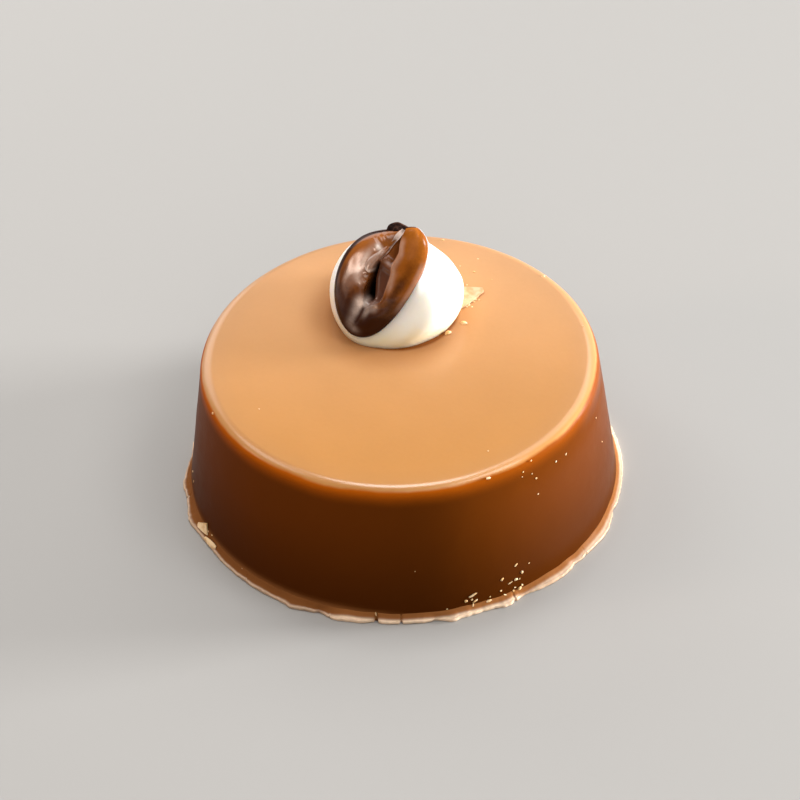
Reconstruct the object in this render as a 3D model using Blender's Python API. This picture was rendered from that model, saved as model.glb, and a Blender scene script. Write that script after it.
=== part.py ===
"""Chocolate praline: a moulded milk chocolate body, a white chocolate dot and a coffee bean.

The body is a round, slightly tapered tablet with a flat top, a rounded top edge and a thin ragged
brim round its foot. The dot sits behind the middle of the top, and the bean stands pressed into it
with its creased side to the front (-Y). The origin is the middle of the flat underside, +Z is up.
Sizes are in millimetres and are scaled to metres where the meshes are made.
"""

import math

import bmesh
import bpy
import numpy as np
from mathutils import Matrix

MM = 0.001
SHARP_ANGLE = 50.0          # edges that turn more than this stay crisp, degrees

# --- Milk chocolate body ----------------------------------------------------------------------
BODY_HEIGHT = 12.0
WALL_TOP_RADIUS = 15.2      # where the wall line meets the plane of the top
WALL_FOOT_RADIUS = 16.6     # where the wall line meets the ground
TOP_EDGE_ROUND = 1.0        # radius of the rounded top edge
TOP_EDGE_STEPS = 6
BODY_SEGMENTS = 180

# --- Thin brim left by the mould round the foot -------------------------------------------------
BRIM_RADIUS = 17.0
BRIM_THICKNESS = 0.28
BRIM_EDGE_ROUND = 0.08
BRIM_BLEND_HEIGHT = 0.45    # how far the brim's soft hollow climbs the wall
BRIM_BLEND_STEPS = 4
BRIM_RIPPLE = 0.02
BRIM_RIPPLE_WAVES = range(6, 15)
BRIM_SEED = 4
# Chips (negative) and tongues (positive): azimuth and half width in degrees, change of radius.
BRIM_CHIPS = (
    (-18.0, 1.8, -0.16),
    (-27.0, 5.0, 0.16),
    (-40.5, 1.8, -0.12),
    (-46.5, 5.0, 0.12),
    (-57.5, 3.0, -0.24),
    (-64.0, 1.8, 0.20),
    (-70.0, 4.0, -0.15),
    (-79.0, 1.6, 0.22),
    (-83.0, 2.0, -0.15),
    (-99.0, 1.8, -0.20),
    (-109.0, 3.0, 0.13),
    (-113.5, 1.8, -0.22),
    (-121.0, 2.4, 0.26),
    (-153.0, 4.0, -0.12),
    (-165.0, 4.0, 0.28),
    (-179.0, 3.0, 0.20),
    (170.0, 4.0, -0.22),
    (141.0, 3.0, 0.18),
    (128.0, 5.0, -0.14),
    (103.0, 2.5, -0.22),
    (88.0, 5.0, 0.14),
    (61.0, 2.5, 0.20),
    (47.0, 3.0, -0.20),
    (25.0, 4.0, 0.12),
)

# --- Broken chip of milk chocolate stuck on the top beside the dot --------------------------------
CHIP_OUTLINE = ((5.40, 7.90), (6.75, 7.40), (6.20, 6.65), (5.70, 6.10), (5.05, 5.60))
CHIP_THICKNESS = 0.25
CHIP_SINK = 0.10            # how deep its foot is fused into the top

# --- White chocolate dot --------------------------------------------------------------------------
DOT_CENTRE = (0.0, 5.65, 13.9)
DOT_RADIUS = 5.15
DOT_HALF_HEIGHT = 4.3
DOT_GAP = 0.3               # between its underside and the top of the body
DOT_SEGMENTS = 48
DOT_RINGS = 16
DOT_TOP_TILT = 88.0         # the last ring's elevation from the centre, degrees
# Swellings and dents: direction from the centre (x, y, z), reach in degrees, change of radius.
DOT_LUMPS = (
    ((-0.60, -0.75, -0.35), 30.0, 0.35),
    ((0.45, -0.80, -0.45), 28.0, -0.30),
    ((0.64, 0.51, 0.57), 15.0, -0.70),
    ((0.34, 0.62, 0.71), 12.0, 0.35),
    ((-0.60, 0.50, 0.55), 26.0, 0.20),
)

# --- Coffee bean ------------------------------------------------------------------------------------
BEAN_CENTRE = (-1.3, 3.85, 16.85)
BEAN_LEAN = 52.5            # its long axis above the level, degrees
BEAN_HEADING = 28.0         # level direction of the long axis, from +X towards +Y, degrees
BEAN_FACE_TURN = 57.0       # how far the creased face looks up from the level, degrees
BEAN_LENGTH = 9.9
BEAN_WIDTH = 6.1
BEAN_FACE_HEIGHT = 1.25     # creased face above the widest plane
BEAN_BACK_DEPTH = 2.7       # rounded back below the widest plane
BEAN_BOW = 0.7              # sideways bend of the long axis
BEAN_SHOULDER = 0.5         # how far the upper left shoulder is drawn in, share of the half width
BEAN_SHOULDER_REACH = 0.36  # how far down it starts, share of the half length
BEAN_FACE_FLATNESS = 2.6    # power of the face's cross-section: a flat middle, round edges
BEAN_FACE_EDGE = 0.6
BEAN_FACE_ENDS = 0.7        # how fast the face sinks towards the ends
BEAN_ROWS = 40
BEAN_FACE_COLUMNS = 26
BEAN_BACK_COLUMNS = 18
CREASE_DEPTH = 1.15
CREASE_HALF_WIDTH = 0.24    # widest, as a share of the half width
CREASE_SWAY = 0.07          # S-bend of the crease, as a share of the half width
CREASE_LIP = 0.14           # raised edge on either side of the crease
CREASE_CROWDING = 1.35      # how much the face's columns crowd towards the crease
CURL_RISE = (-0.30, 0.36, 0.10)     # skin curling off the upper left end: across, along, outward
CURL_PLACE = (-1.0, 0.80)   # across and along, as shares of the half width and half length
CURL_REACH = (0.55, 0.09)
POCKET_GAP = 0.3            # between the bean and the pocket in the dot
POCKET_REACH = 6.0          # how far the pocket is open in front of the bean's face


def clear_scene() -> None:
    """Remove every object of the open scene."""
    for old in list(bpy.data.objects):
        bpy.data.objects.remove(old, do_unlink=True)


def make_material(name: str, colour: tuple, roughness: float) -> bpy.types.Material:
    """Return a Principled material with one colour and roughness."""
    material = bpy.data.materials.new(name)
    material.use_nodes = True
    shader = material.node_tree.nodes["Principled BSDF"]
    shader.inputs["Base Color"].default_value = (*colour, 1.0)
    shader.inputs["Roughness"].default_value = roughness
    shader.inputs["Metallic"].default_value = 0.0
    return material


def make_object(name: str, points: np.ndarray, faces: list, material=None) -> bpy.types.Object:
    """Make a mesh object from points in millimetres and lists of point numbers."""
    mesh = bpy.data.meshes.new(name)
    mesh.from_pydata((points * MM).tolist(), [], faces)
    work = bmesh.new()
    work.from_mesh(mesh)
    bmesh.ops.recalc_face_normals(work, faces=work.faces)
    work.to_mesh(mesh)
    work.free()
    mesh.shade_smooth()
    mesh.set_sharp_from_angle(angle=math.radians(SHARP_ANGLE))
    piece = bpy.data.objects.new(name, mesh)
    bpy.context.scene.collection.objects.link(piece)
    if material is not None:
        mesh.materials.append(material)
    return piece


def as_cutter(piece: bpy.types.Object) -> bpy.types.Object:
    """Show an object as a guide only."""
    piece.hide_render = True
    piece.display_type = "WIRE"
    return piece


def add_boolean(piece: bpy.types.Object, tool: bpy.types.Object, operation: str) -> None:
    """Join or cut a piece with a tool object."""
    boolean = piece.modifiers.new(operation.title(), "BOOLEAN")
    boolean.solver = "EXACT"
    boolean.operation = operation
    boolean.object = tool


def ring_faces(rings: int, around: int) -> list:
    """Return quads between rings of points, with one flat face closing each end."""
    faces = []
    for ring in range(rings - 1):
        for column in range(around):
            after = (column + 1) % around
            low, high = ring * around, (ring + 1) * around
            faces.append((low + column, low + after, high + after, high + column))
    faces.append(tuple(reversed(range(around))))
    faces.append(tuple(range((rings - 1) * around, rings * around)))
    return faces


def bump(distance: np.ndarray, reach: float) -> np.ndarray:
    """Return a soft bump: 1 at distance 0, fading out over the reach."""
    return np.exp(-((distance / reach) ** 2))


# --- Body -------------------------------------------------------------------------------------------
def brim_radius(azimuth: np.ndarray) -> np.ndarray:
    """Return the ragged radius of the brim at each azimuth, in radians."""
    draw = np.random.default_rng(BRIM_SEED)
    radius = np.full_like(azimuth, BRIM_RADIUS)
    for wave in BRIM_RIPPLE_WAVES:
        phase = draw.uniform(0.0, 2.0 * math.pi)
        radius += BRIM_RIPPLE * draw.uniform(0.3, 1.0) * np.cos(wave * azimuth + phase)
    degrees = np.degrees(azimuth)
    for centre, half_width, change in BRIM_CHIPS:
        away = (degrees - centre + 180.0) % 360.0 - 180.0
        radius += change * bump(away, half_width)
    return radius


def wall_radius(height: float) -> float:
    """Return the radius of the tapered wall at a height."""
    return WALL_FOOT_RADIUS + (WALL_TOP_RADIUS - WALL_FOOT_RADIUS) * height / BODY_HEIGHT


def body_profile(brim: np.ndarray) -> list:
    """Return (radius for each azimuth, height) from the foot up to the flat top."""
    edge = brim - BRIM_EDGE_ROUND
    profile = [(edge, 0.0), (brim, BRIM_EDGE_ROUND), (brim, BRIM_THICKNESS - BRIM_EDGE_ROUND)]
    blend_top = BRIM_THICKNESS + BRIM_BLEND_HEIGHT
    for step in range(BRIM_BLEND_STEPS + 1):
        share = step / BRIM_BLEND_STEPS
        height = BRIM_THICKNESS + BRIM_BLEND_HEIGHT * share**2
        profile.append((edge + (wall_radius(blend_top) - edge) * share, height))
    lean = math.atan2(WALL_FOOT_RADIUS - WALL_TOP_RADIUS, BODY_HEIGHT)
    turn = math.pi / 2.0 - lean
    flat_radius = WALL_TOP_RADIUS - TOP_EDGE_ROUND * math.tan(turn / 2.0)
    for step in range(TOP_EDGE_STEPS + 1):
        angle = turn * (1.0 - step / TOP_EDGE_STEPS)
        radius = flat_radius + TOP_EDGE_ROUND * math.sin(angle)
        height = BODY_HEIGHT - TOP_EDGE_ROUND * (1.0 - math.cos(angle))
        profile.append((np.full_like(brim, radius), height))
    return profile


def make_chip() -> bpy.types.Object:
    """Make the broken chip as a thin prism whose foot lies inside the body."""
    outline = np.array(CHIP_OUTLINE)
    levels = (BODY_HEIGHT - CHIP_SINK, BODY_HEIGHT + CHIP_THICKNESS)
    points = np.concatenate([np.c_[outline, np.full(len(outline), level)] for level in levels])
    return as_cutter(make_object("chip_tool", points, ring_faces(2, len(outline))))


def make_body() -> bpy.types.Object:
    """Make the milk chocolate body with its brim and the chip on its top."""
    azimuth = np.linspace(-math.pi, math.pi, BODY_SEGMENTS, endpoint=False)
    profile = body_profile(brim_radius(azimuth))
    rings = [
        np.c_[radius * np.cos(azimuth), radius * np.sin(azimuth), np.full_like(azimuth, height)]
        for radius, height in profile
    ]
    milk = make_material("milk_chocolate", (0.42, 0.16, 0.055), 0.35)
    body = make_object("body", np.concatenate(rings), ring_faces(len(rings), BODY_SEGMENTS), milk)
    add_boolean(body, make_chip(), "UNION")
    return body


# --- Bean -------------------------------------------------------------------------------------------
def bean_frame() -> Matrix:
    """Return the bean's place: X across, Y along its length, Z out of its creased face."""
    lean, heading, turn = (math.radians(a) for a in (BEAN_LEAN, BEAN_HEADING, BEAN_FACE_TURN))
    level = np.array([math.cos(heading), math.sin(heading), 0.0])
    up = np.array([0.0, 0.0, 1.0])
    along = math.cos(lean) * level + math.sin(lean) * up
    over = math.cos(lean) * up - math.sin(lean) * level
    side = np.array([math.sin(heading), -math.cos(heading), 0.0])
    outward = math.cos(turn) * side + math.sin(turn) * over
    across = np.cross(along, outward)
    frame = Matrix(np.c_[across, along, outward].tolist()).to_4x4()
    frame.translation = [value * MM for value in BEAN_CENTRE]
    return frame


def crease_centre(along: np.ndarray) -> np.ndarray:
    """Return where the crease runs across the face: a slow S, as a share of the half width."""
    return -CREASE_SWAY * np.sin(2.4 * along) - 0.02


def bean_face(across: np.ndarray, along: np.ndarray, taper: np.ndarray) -> np.ndarray:
    """Return the height of the creased face, with its groove and raised lips."""
    section = (1.0 - np.abs(across) ** BEAN_FACE_FLATNESS).clip(0.0) ** BEAN_FACE_EDGE
    dome = BEAN_FACE_HEIGHT * taper**BEAN_FACE_ENDS * section
    half = CREASE_HALF_WIDTH * (0.45 + 0.55 * bump(along - 0.1, 0.5))
    offset = across - crease_centre(along)
    groove = CREASE_DEPTH * taper * bump(offset, half)
    lips = CREASE_LIP * taper * bump(np.abs(offset) - 1.5 * half, 0.12)
    return dome - groove + lips


def bean_mesh(gap: float, face_reach: float, rows: int, columns: tuple) -> tuple:
    """Loft the bean, or with a gap and a reach the tool that cuts its pocket.

    Rows of points run from one end to the other. Each row goes over the face from right to left
    and back under the rounded side, crowding its points round the crease.
    """
    face_columns, back_columns = columns
    along = -np.cos(np.linspace(0.0, math.pi, rows + 2)[1:-1])[:, None]
    taper = np.sqrt(1.0 - along**2)
    middle = BEAN_BOW * (along**2 - 0.35)
    half_width = (BEAN_WIDTH / 2.0 + gap) * taper
    drawn_in = BEAN_SHOULDER * bump(1.0 - along, BEAN_SHOULDER_REACH)
    spread = np.linspace(1.0, -1.0, face_columns)[None, :]
    face_across = np.sign(spread) * np.abs(spread) ** CREASE_CROWDING * np.ones_like(along)
    under = np.linspace(math.pi, 2.0 * math.pi, back_columns + 2)[1:-1][None, :]
    back_across = np.cos(under) * np.ones_like(along)
    if face_reach > 0.0:
        face = face_reach * np.ones_like(face_across)
    else:
        face_across += (1.0 - face_across**2) * crease_centre(along)
        face = bean_face(face_across, along, taper)
    back = (BEAN_BACK_DEPTH + gap) * taper * np.sin(under)
    across = np.concatenate([face_across, back_across], axis=1)
    curl = bump(across - CURL_PLACE[0], CURL_REACH[0]) * bump(along - CURL_PLACE[1], CURL_REACH[1])
    across = np.where(across < 0.0, across * (1.0 - drawn_in), across) * half_width + middle
    length = (BEAN_LENGTH / 2.0 + gap) * along * np.ones_like(across)
    height = np.concatenate([face, back], axis=1)
    points = np.stack([across, length, height], axis=-1)
    points += curl[:, :, None] * np.array(CURL_RISE)
    return points.reshape(-1, 3), ring_faces(rows, face_columns + back_columns)


def make_bean() -> bpy.types.Object:
    """Make the roasted coffee bean where it stands."""
    roast = make_material("roasted_coffee", (0.10, 0.035, 0.015), 0.35)
    points, faces = bean_mesh(0.0, 0.0, BEAN_ROWS, (BEAN_FACE_COLUMNS, BEAN_BACK_COLUMNS))
    bean = make_object("bean", points, faces, roast)
    bean.matrix_world = bean_frame()
    return bean


# --- Dot --------------------------------------------------------------------------------------------
def dot_points() -> np.ndarray:
    """Return the rings of the dot from its flat underside to near its top."""
    floor = BODY_HEIGHT + DOT_GAP - DOT_CENTRE[2]
    lowest = math.asin(floor / DOT_HALF_HEIGHT)
    tilt = np.linspace(lowest, math.radians(DOT_TOP_TILT), DOT_RINGS)[:, None]
    azimuth = np.linspace(0.0, 2.0 * math.pi, DOT_SEGMENTS, endpoint=False)[None, :]
    x = DOT_RADIUS * np.cos(tilt) * np.cos(azimuth)
    y = DOT_RADIUS * np.cos(tilt) * np.sin(azimuth)
    z = DOT_HALF_HEIGHT * np.sin(tilt) * np.ones_like(azimuth)
    points = np.stack([x, y, z], axis=-1).reshape(-1, 3)
    direction = points / np.linalg.norm(points, axis=1, keepdims=True)
    change = np.zeros(len(points))
    for towards, reach, amount in DOT_LUMPS:
        aim = np.array(towards) / np.linalg.norm(towards)
        angle = np.degrees(np.arccos((direction @ aim).clip(-1.0, 1.0)))
        change += amount * bump(angle, reach)
    points += direction * change[:, None]
    points[:, 2] = np.maximum(points[:, 2], floor)
    points[:DOT_SEGMENTS, 2] = floor
    return points + np.array(DOT_CENTRE)


def make_dot() -> bpy.types.Object:
    """Make the white chocolate dot with the pocket that the bean stands in."""
    white = make_material("white_chocolate", (0.90, 0.80, 0.62), 0.3)
    dot = make_object("dot", dot_points(), ring_faces(DOT_RINGS, DOT_SEGMENTS), white)
    points, faces = bean_mesh(POCKET_GAP, POCKET_REACH, 18, (8, 14))
    pocket = as_cutter(make_object("pocket_tool", points, faces))
    pocket.matrix_world = bean_frame()
    add_boolean(dot, pocket, "DIFFERENCE")
    return dot


def main() -> None:
    """Build the praline."""
    clear_scene()
    make_body()
    make_dot()
    make_bean()


main()
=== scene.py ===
"""Chocolate praline: a moulded milk chocolate, a white chocolate dot and a roasted coffee bean.

The makers' classes hold their sizes in millimetres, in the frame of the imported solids: the origin is
the middle of the flat underside, +Z is up and the bean's creased side faces -Y. `Mesher` turns the
grids of points into closed meshes in metres. A pair of numbers that is passed on with a star says
where a soft step starts and where it ends.
"""

import logging
import math
from dataclasses import dataclass
from enum import Enum

import bpy
import numpy as np
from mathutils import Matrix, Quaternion, Vector


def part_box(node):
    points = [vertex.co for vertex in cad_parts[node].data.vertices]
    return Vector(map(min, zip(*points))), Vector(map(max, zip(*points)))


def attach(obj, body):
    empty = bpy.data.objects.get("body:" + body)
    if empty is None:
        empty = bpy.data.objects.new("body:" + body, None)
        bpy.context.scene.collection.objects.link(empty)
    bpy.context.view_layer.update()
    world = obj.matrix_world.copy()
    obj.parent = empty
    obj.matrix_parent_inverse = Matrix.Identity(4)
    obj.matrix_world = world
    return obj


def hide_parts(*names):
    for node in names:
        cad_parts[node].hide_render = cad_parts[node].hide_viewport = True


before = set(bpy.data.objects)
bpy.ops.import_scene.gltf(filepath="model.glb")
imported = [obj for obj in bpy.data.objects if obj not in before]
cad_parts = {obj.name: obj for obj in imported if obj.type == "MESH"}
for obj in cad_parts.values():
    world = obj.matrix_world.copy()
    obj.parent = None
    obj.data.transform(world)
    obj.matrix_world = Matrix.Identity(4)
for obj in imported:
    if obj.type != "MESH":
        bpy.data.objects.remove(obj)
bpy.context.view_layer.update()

MM = 0.001
BODY = "root"
TINY = 1e-9
RIPPLE_SHARES = (0.3, 1.0)
WOBBLE_WAVES = 12
WOBBLE_LENGTHS = (0.7, 1.6)
WOBBLE_SCALE = 5.0
Material = bpy.types.Material
Object = bpy.types.Object
log = logging.getLogger("praline")


class Slot(Enum):
    """Material slots of the record."""

    MILK = "milk_chocolate"
    WHITE = "white_chocolate"
    COFFEE = "roasted_coffee"


# --- Curves and fields ---
def bump(distance: np.ndarray, reach: float) -> np.ndarray:
    """Return a soft hill: e to the minus (distance / reach) squared."""
    return np.exp(-((distance / reach) ** 2))


def ramp(value: np.ndarray, low: float, high: float) -> np.ndarray:
    """Return the smooth step 3t^2 - 2t^3, where t runs from 0 at low to 1 at high."""
    share = np.clip((value - low) / (high - low), 0.0, 1.0)
    return share * share * (3.0 - 2.0 * share)


def between(value: np.ndarray, first: tuple, second: tuple) -> np.ndarray:
    """Return the product of two smooth steps, each from the first to the second number of its pair."""
    return ramp(value, *first) * ramp(value, *second)


def turned(degrees: np.ndarray, centre: float) -> np.ndarray:
    """Return how far azimuths lie from a centre, from -180 to 180 degrees."""
    return (degrees - centre + 180.0) % 360.0 - 180.0


def hills(
    field: np.ndarray | float, x: np.ndarray, y: np.ndarray, table: tuple, power: float = 1.0
) -> np.ndarray:
    """Add soft oval hills to a field.

    Args:
        field: The values that the hills are added to.
        x: First coordinate of the points.
        y: Second coordinate of the points.
        table: Middle x and y of each hill, its reach along x and along y, and its height.
        power: Power that the soft curve is raised to.

    Returns:
        The new field.
    """
    for at_x, at_y, wide, tall, height in table:
        field = field + height * bump(np.hypot((x - at_x) / wide, (y - at_y) / tall), 1.0) ** power
    return field


def around(radius: np.ndarray, azimuth: np.ndarray, height: np.ndarray | float) -> np.ndarray:
    """Return points from radius, azimuth in radians and height, their coordinates on the last axis."""
    return np.stack(np.broadcast_arrays(radius * np.cos(azimuth), radius * np.sin(azimuth), height), axis=-1)


def normals(surface: np.ndarray) -> np.ndarray:
    """Return a grid's unit normals: the cross product of its differences along rows and columns."""
    normal = np.cross(np.gradient(surface, axis=0), np.gradient(surface, axis=1))
    return normal / (np.linalg.norm(normal, axis=-1, keepdims=True) + TINY)


def through(at: np.ndarray, places: tuple) -> np.ndarray:
    """Evaluate a smooth curve that passes through named places.

    Between two neighbours it is the cubic Hermite curve whose slopes are the central differences.

    Args:
        at: Where to evaluate, in the unit of the places' first numbers.
        places: Pairs (position, value) in rising order of position.

    Returns:
        The curve's values, held level outside the first and last place.
    """
    knots, values = np.array(places, float).T
    slopes = np.gradient(values, knots)
    cell = np.clip(np.searchsorted(knots, at) - 1, 0, len(knots) - 2)
    span = knots[cell + 1] - knots[cell]
    t = np.clip((at - knots[cell]) / span, 0.0, 1.0)
    start = (1.0 + 2.0 * t) * (1.0 - t) ** 2 * values[cell] + t * (1.0 - t) ** 2 * span * slopes[cell]
    end = t * t * (3.0 - 2.0 * t) * values[cell + 1] + t * t * (t - 1.0) * span * slopes[cell + 1]
    return start + end


def ripple(angle: np.ndarray, waves: range, size: float, seed: int) -> np.ndarray:
    """Return a closed ragged line round a circle: a seeded sum of cosines.

    Args:
        angle: Azimuths in radians.
        waves: Whole numbers of waves round the circle.
        size: Height of one wave; each takes a drawn share of it.
        seed: Seed of the heights and phases.

    Returns:
        The line's height at each azimuth.
    """
    draw = np.random.default_rng(seed)
    total = np.zeros_like(angle)
    for wave in waves:
        phase = draw.uniform(0.0, 2.0 * math.pi)
        total += size * draw.uniform(*RIPPLE_SHARES) * np.cos(wave * angle + phase)
    return total


def wobble(points: np.ndarray, spacing: float, seed: int) -> np.ndarray:
    """Return a smooth uneven field from about -1 to 1: seeded plane waves, added up.

    Args:
        points: Points in millimetres, their coordinates on the last axis.
        spacing: Rough distance between neighbouring hills in millimetres.
        seed: Seed of the directions and phases.

    Returns:
        The field's value at each point.
    """
    draw = np.random.default_rng(seed)
    directions = draw.normal(size=(WOBBLE_WAVES, 3))
    directions /= np.linalg.norm(directions, axis=1, keepdims=True)
    lengths = draw.uniform(*WOBBLE_LENGTHS, WOBBLE_WAVES) * spacing
    phases = draw.uniform(0.0, 2.0 * math.pi, WOBBLE_WAVES)
    waves = np.sin(points @ (directions * 2.0 * math.pi / lengths[:, None]).T + phases)
    return waves.sum(axis=-1) / WOBBLE_SCALE


# --- Meshes ---
def add_object(name: str, data: bpy.types.ID) -> Object:
    """Put a new object with that data into the scene.

    Args:
        name: Name of the object.
        data: Its mesh, light or camera.

    Returns:
        The object.
    """
    made = bpy.data.objects.new(name, data)
    bpy.context.scene.collection.objects.link(made)
    return made


class Mesher:
    """Turns grids of points in millimetres into closed mesh objects in metres."""

    @staticmethod
    def grid(rows: int, columns: int, wrap_rows: bool, wrap_columns: bool) -> np.ndarray:
        """Return the quads of a grid of points numbered row by row.

        Args:
            rows: Number of rows.
            columns: Number of points in a row.
            wrap_rows: Whether the last row joins the first.
            wrap_columns: Whether the last column joins the first.

        Returns:
            An array of four point numbers for each quad.
        """
        row = np.arange(rows if wrap_rows else rows - 1)[:, None]
        column = np.arange(columns if wrap_columns else columns - 1)[None, :]
        low, high = row * columns, (row + 1) % rows * columns
        after = (column + 1) % columns
        corners = (low + column, low + after, high + after, high + column)
        return np.stack([corner.ravel() for corner in corners], axis=1)

    @staticmethod
    def tube(points: np.ndarray) -> tuple[np.ndarray, list]:
        """Close a stack of rings with a point in the middle of each end ring.

        Args:
            points: Rings of points, shape (rings, columns, 3).

        Returns:
            The points as a list of rows, and the faces.
        """
        rings, columns, _ = points.shape
        flat = np.concatenate([points.reshape(-1, 3), points[0].mean(0)[None], points[-1].mean(0)[None]])
        here = np.arange(columns)
        after = (here + 1) % columns
        first = np.stack([after, here, np.full(columns, rings * columns)], axis=1)
        base = (rings - 1) * columns
        last = np.stack([base + here, base + after, np.full(columns, rings * columns + 1)], axis=1)
        return flat, Mesher.grid(rings, columns, False, True).tolist() + first.tolist() + last.tolist()

    @staticmethod
    def sheet(points: np.ndarray, thickness: float) -> tuple[np.ndarray, list]:
        """Give a grid a thickness and close its border.

        The two sides lie half the thickness off the grid, along its normals.

        Args:
            points: The middle surface, shape (rows, columns, 3).
            thickness: The thickness.

        Returns:
            The points as a list of rows, and the faces.
        """
        rows, columns, _ = points.shape
        half = normals(points) * thickness / 2.0
        count = rows * columns
        number = np.arange(count).reshape(rows, columns)
        edge = np.concatenate([number[0, :-1], number[:-1, -1], number[-1, :0:-1], number[:0:-1, 0]])
        after = np.roll(edge, -1)
        front = Mesher.grid(rows, columns, False, False)
        sides = np.stack([edge, edge + count, after + count, after], axis=1)
        faces = np.concatenate([front, front[:, ::-1] + count, sides])
        both = np.concatenate([(points + half).reshape(-1, 3), (points - half).reshape(-1, 3)])
        return both, faces.tolist()

    @staticmethod
    def outward(points: np.ndarray, faces: list) -> list:
        """Turn all faces of a closed mesh round if its signed volume is negative.

        Args:
            points: The mesh's points.
            faces: Point numbers of each face.

        Returns:
            The faces.
        """
        fans = np.array([(f[0], f[i], f[i + 1]) for f in faces for i in range(1, len(f) - 1)])
        a, b, c = (points[fans[:, i]] - points.mean(0) for i in range(3))
        volume = np.einsum("ij,ij->i", a, np.cross(b, c)).sum()
        return faces if volume > 0 else [f[::-1] for f in faces]

    @staticmethod
    def piece(
        name: str,
        points: np.ndarray,
        faces: list,
        material: Material,
        slot: Slot,
        paint: dict[str, np.ndarray] | None = None,
        crisp: float | None = None,
    ) -> Object:
        """Make a mesh object that rides on the praline.

        Args:
            name: Name of the object.
            points: Points in millimetres, shape (points, 3).
            faces: Point numbers of each face.
            material: Its finish.
            slot: The record's slot that the finish belongs to; not used.
            paint: Values from 0 to 1 at the points, by attribute name.
            crisp: Angle in degrees past which an edge stays sharp.

        Returns:
            The new object.
        """
        mesh = bpy.data.meshes.new(name)
        mesh.from_pydata((points * MM).tolist(), [], Mesher.outward(points, faces))
        mesh.shade_smooth()
        if crisp is not None:
            mesh.set_sharp_from_angle(angle=math.radians(crisp))
        for layer, values in (paint or {}).items():
            attribute = mesh.attributes.new(layer, "FLOAT", "POINT")
            attribute.data.foreach_set("value", np.asarray(values, np.float32).ravel())
        mesh.materials.append(material)
        made = add_object(name, mesh)
        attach(made, BODY)
        log.info("%s: %d points, %d faces", name, len(points), len(faces))
        return made


# --- Shader nodes ---
class Signal:
    """A node's output socket; arithmetic on it adds Math nodes."""

    def __init__(self, recipe: "Recipe", socket: bpy.types.NodeSocket) -> None:
        """Hold the socket and the recipe that its node is in."""
        self.recipe = recipe
        self.socket = socket

    def __add__(self, other: "Signal | float") -> "Signal":
        """Return self + other."""
        return self.recipe.maths("ADD", self, other)

    def __radd__(self, other: float) -> "Signal":
        """Return other + self."""
        return self.recipe.maths("ADD", other, self)

    def __sub__(self, other: "Signal | float") -> "Signal":
        """Return self - other."""
        return self.recipe.maths("SUBTRACT", self, other)

    def __rsub__(self, other: float) -> "Signal":
        """Return other - self."""
        return self.recipe.maths("SUBTRACT", other, self)

    def __mul__(self, other: "Signal | float") -> "Signal":
        """Return self * other."""
        return self.recipe.maths("MULTIPLY", self, other)

    def __rmul__(self, other: float) -> "Signal":
        """Return other * self."""
        return self.recipe.maths("MULTIPLY", other, self)

    def step(self, low: float, high: float) -> "Signal":
        """Return the smooth step from 0 at low to 1 at high."""
        settings = {"interpolation_type": "SMOOTHSTEP"}
        values = {"Value": self, "From Min": low, "From Max": high}
        return self.recipe.add("ShaderNodeMapRange", settings, values)

    def rise(self, low: float, high: float) -> "Signal":
        """Return the smooth step from 0 at low to 1 at high millimetres."""
        return self.step(low * MM, high * MM)


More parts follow.
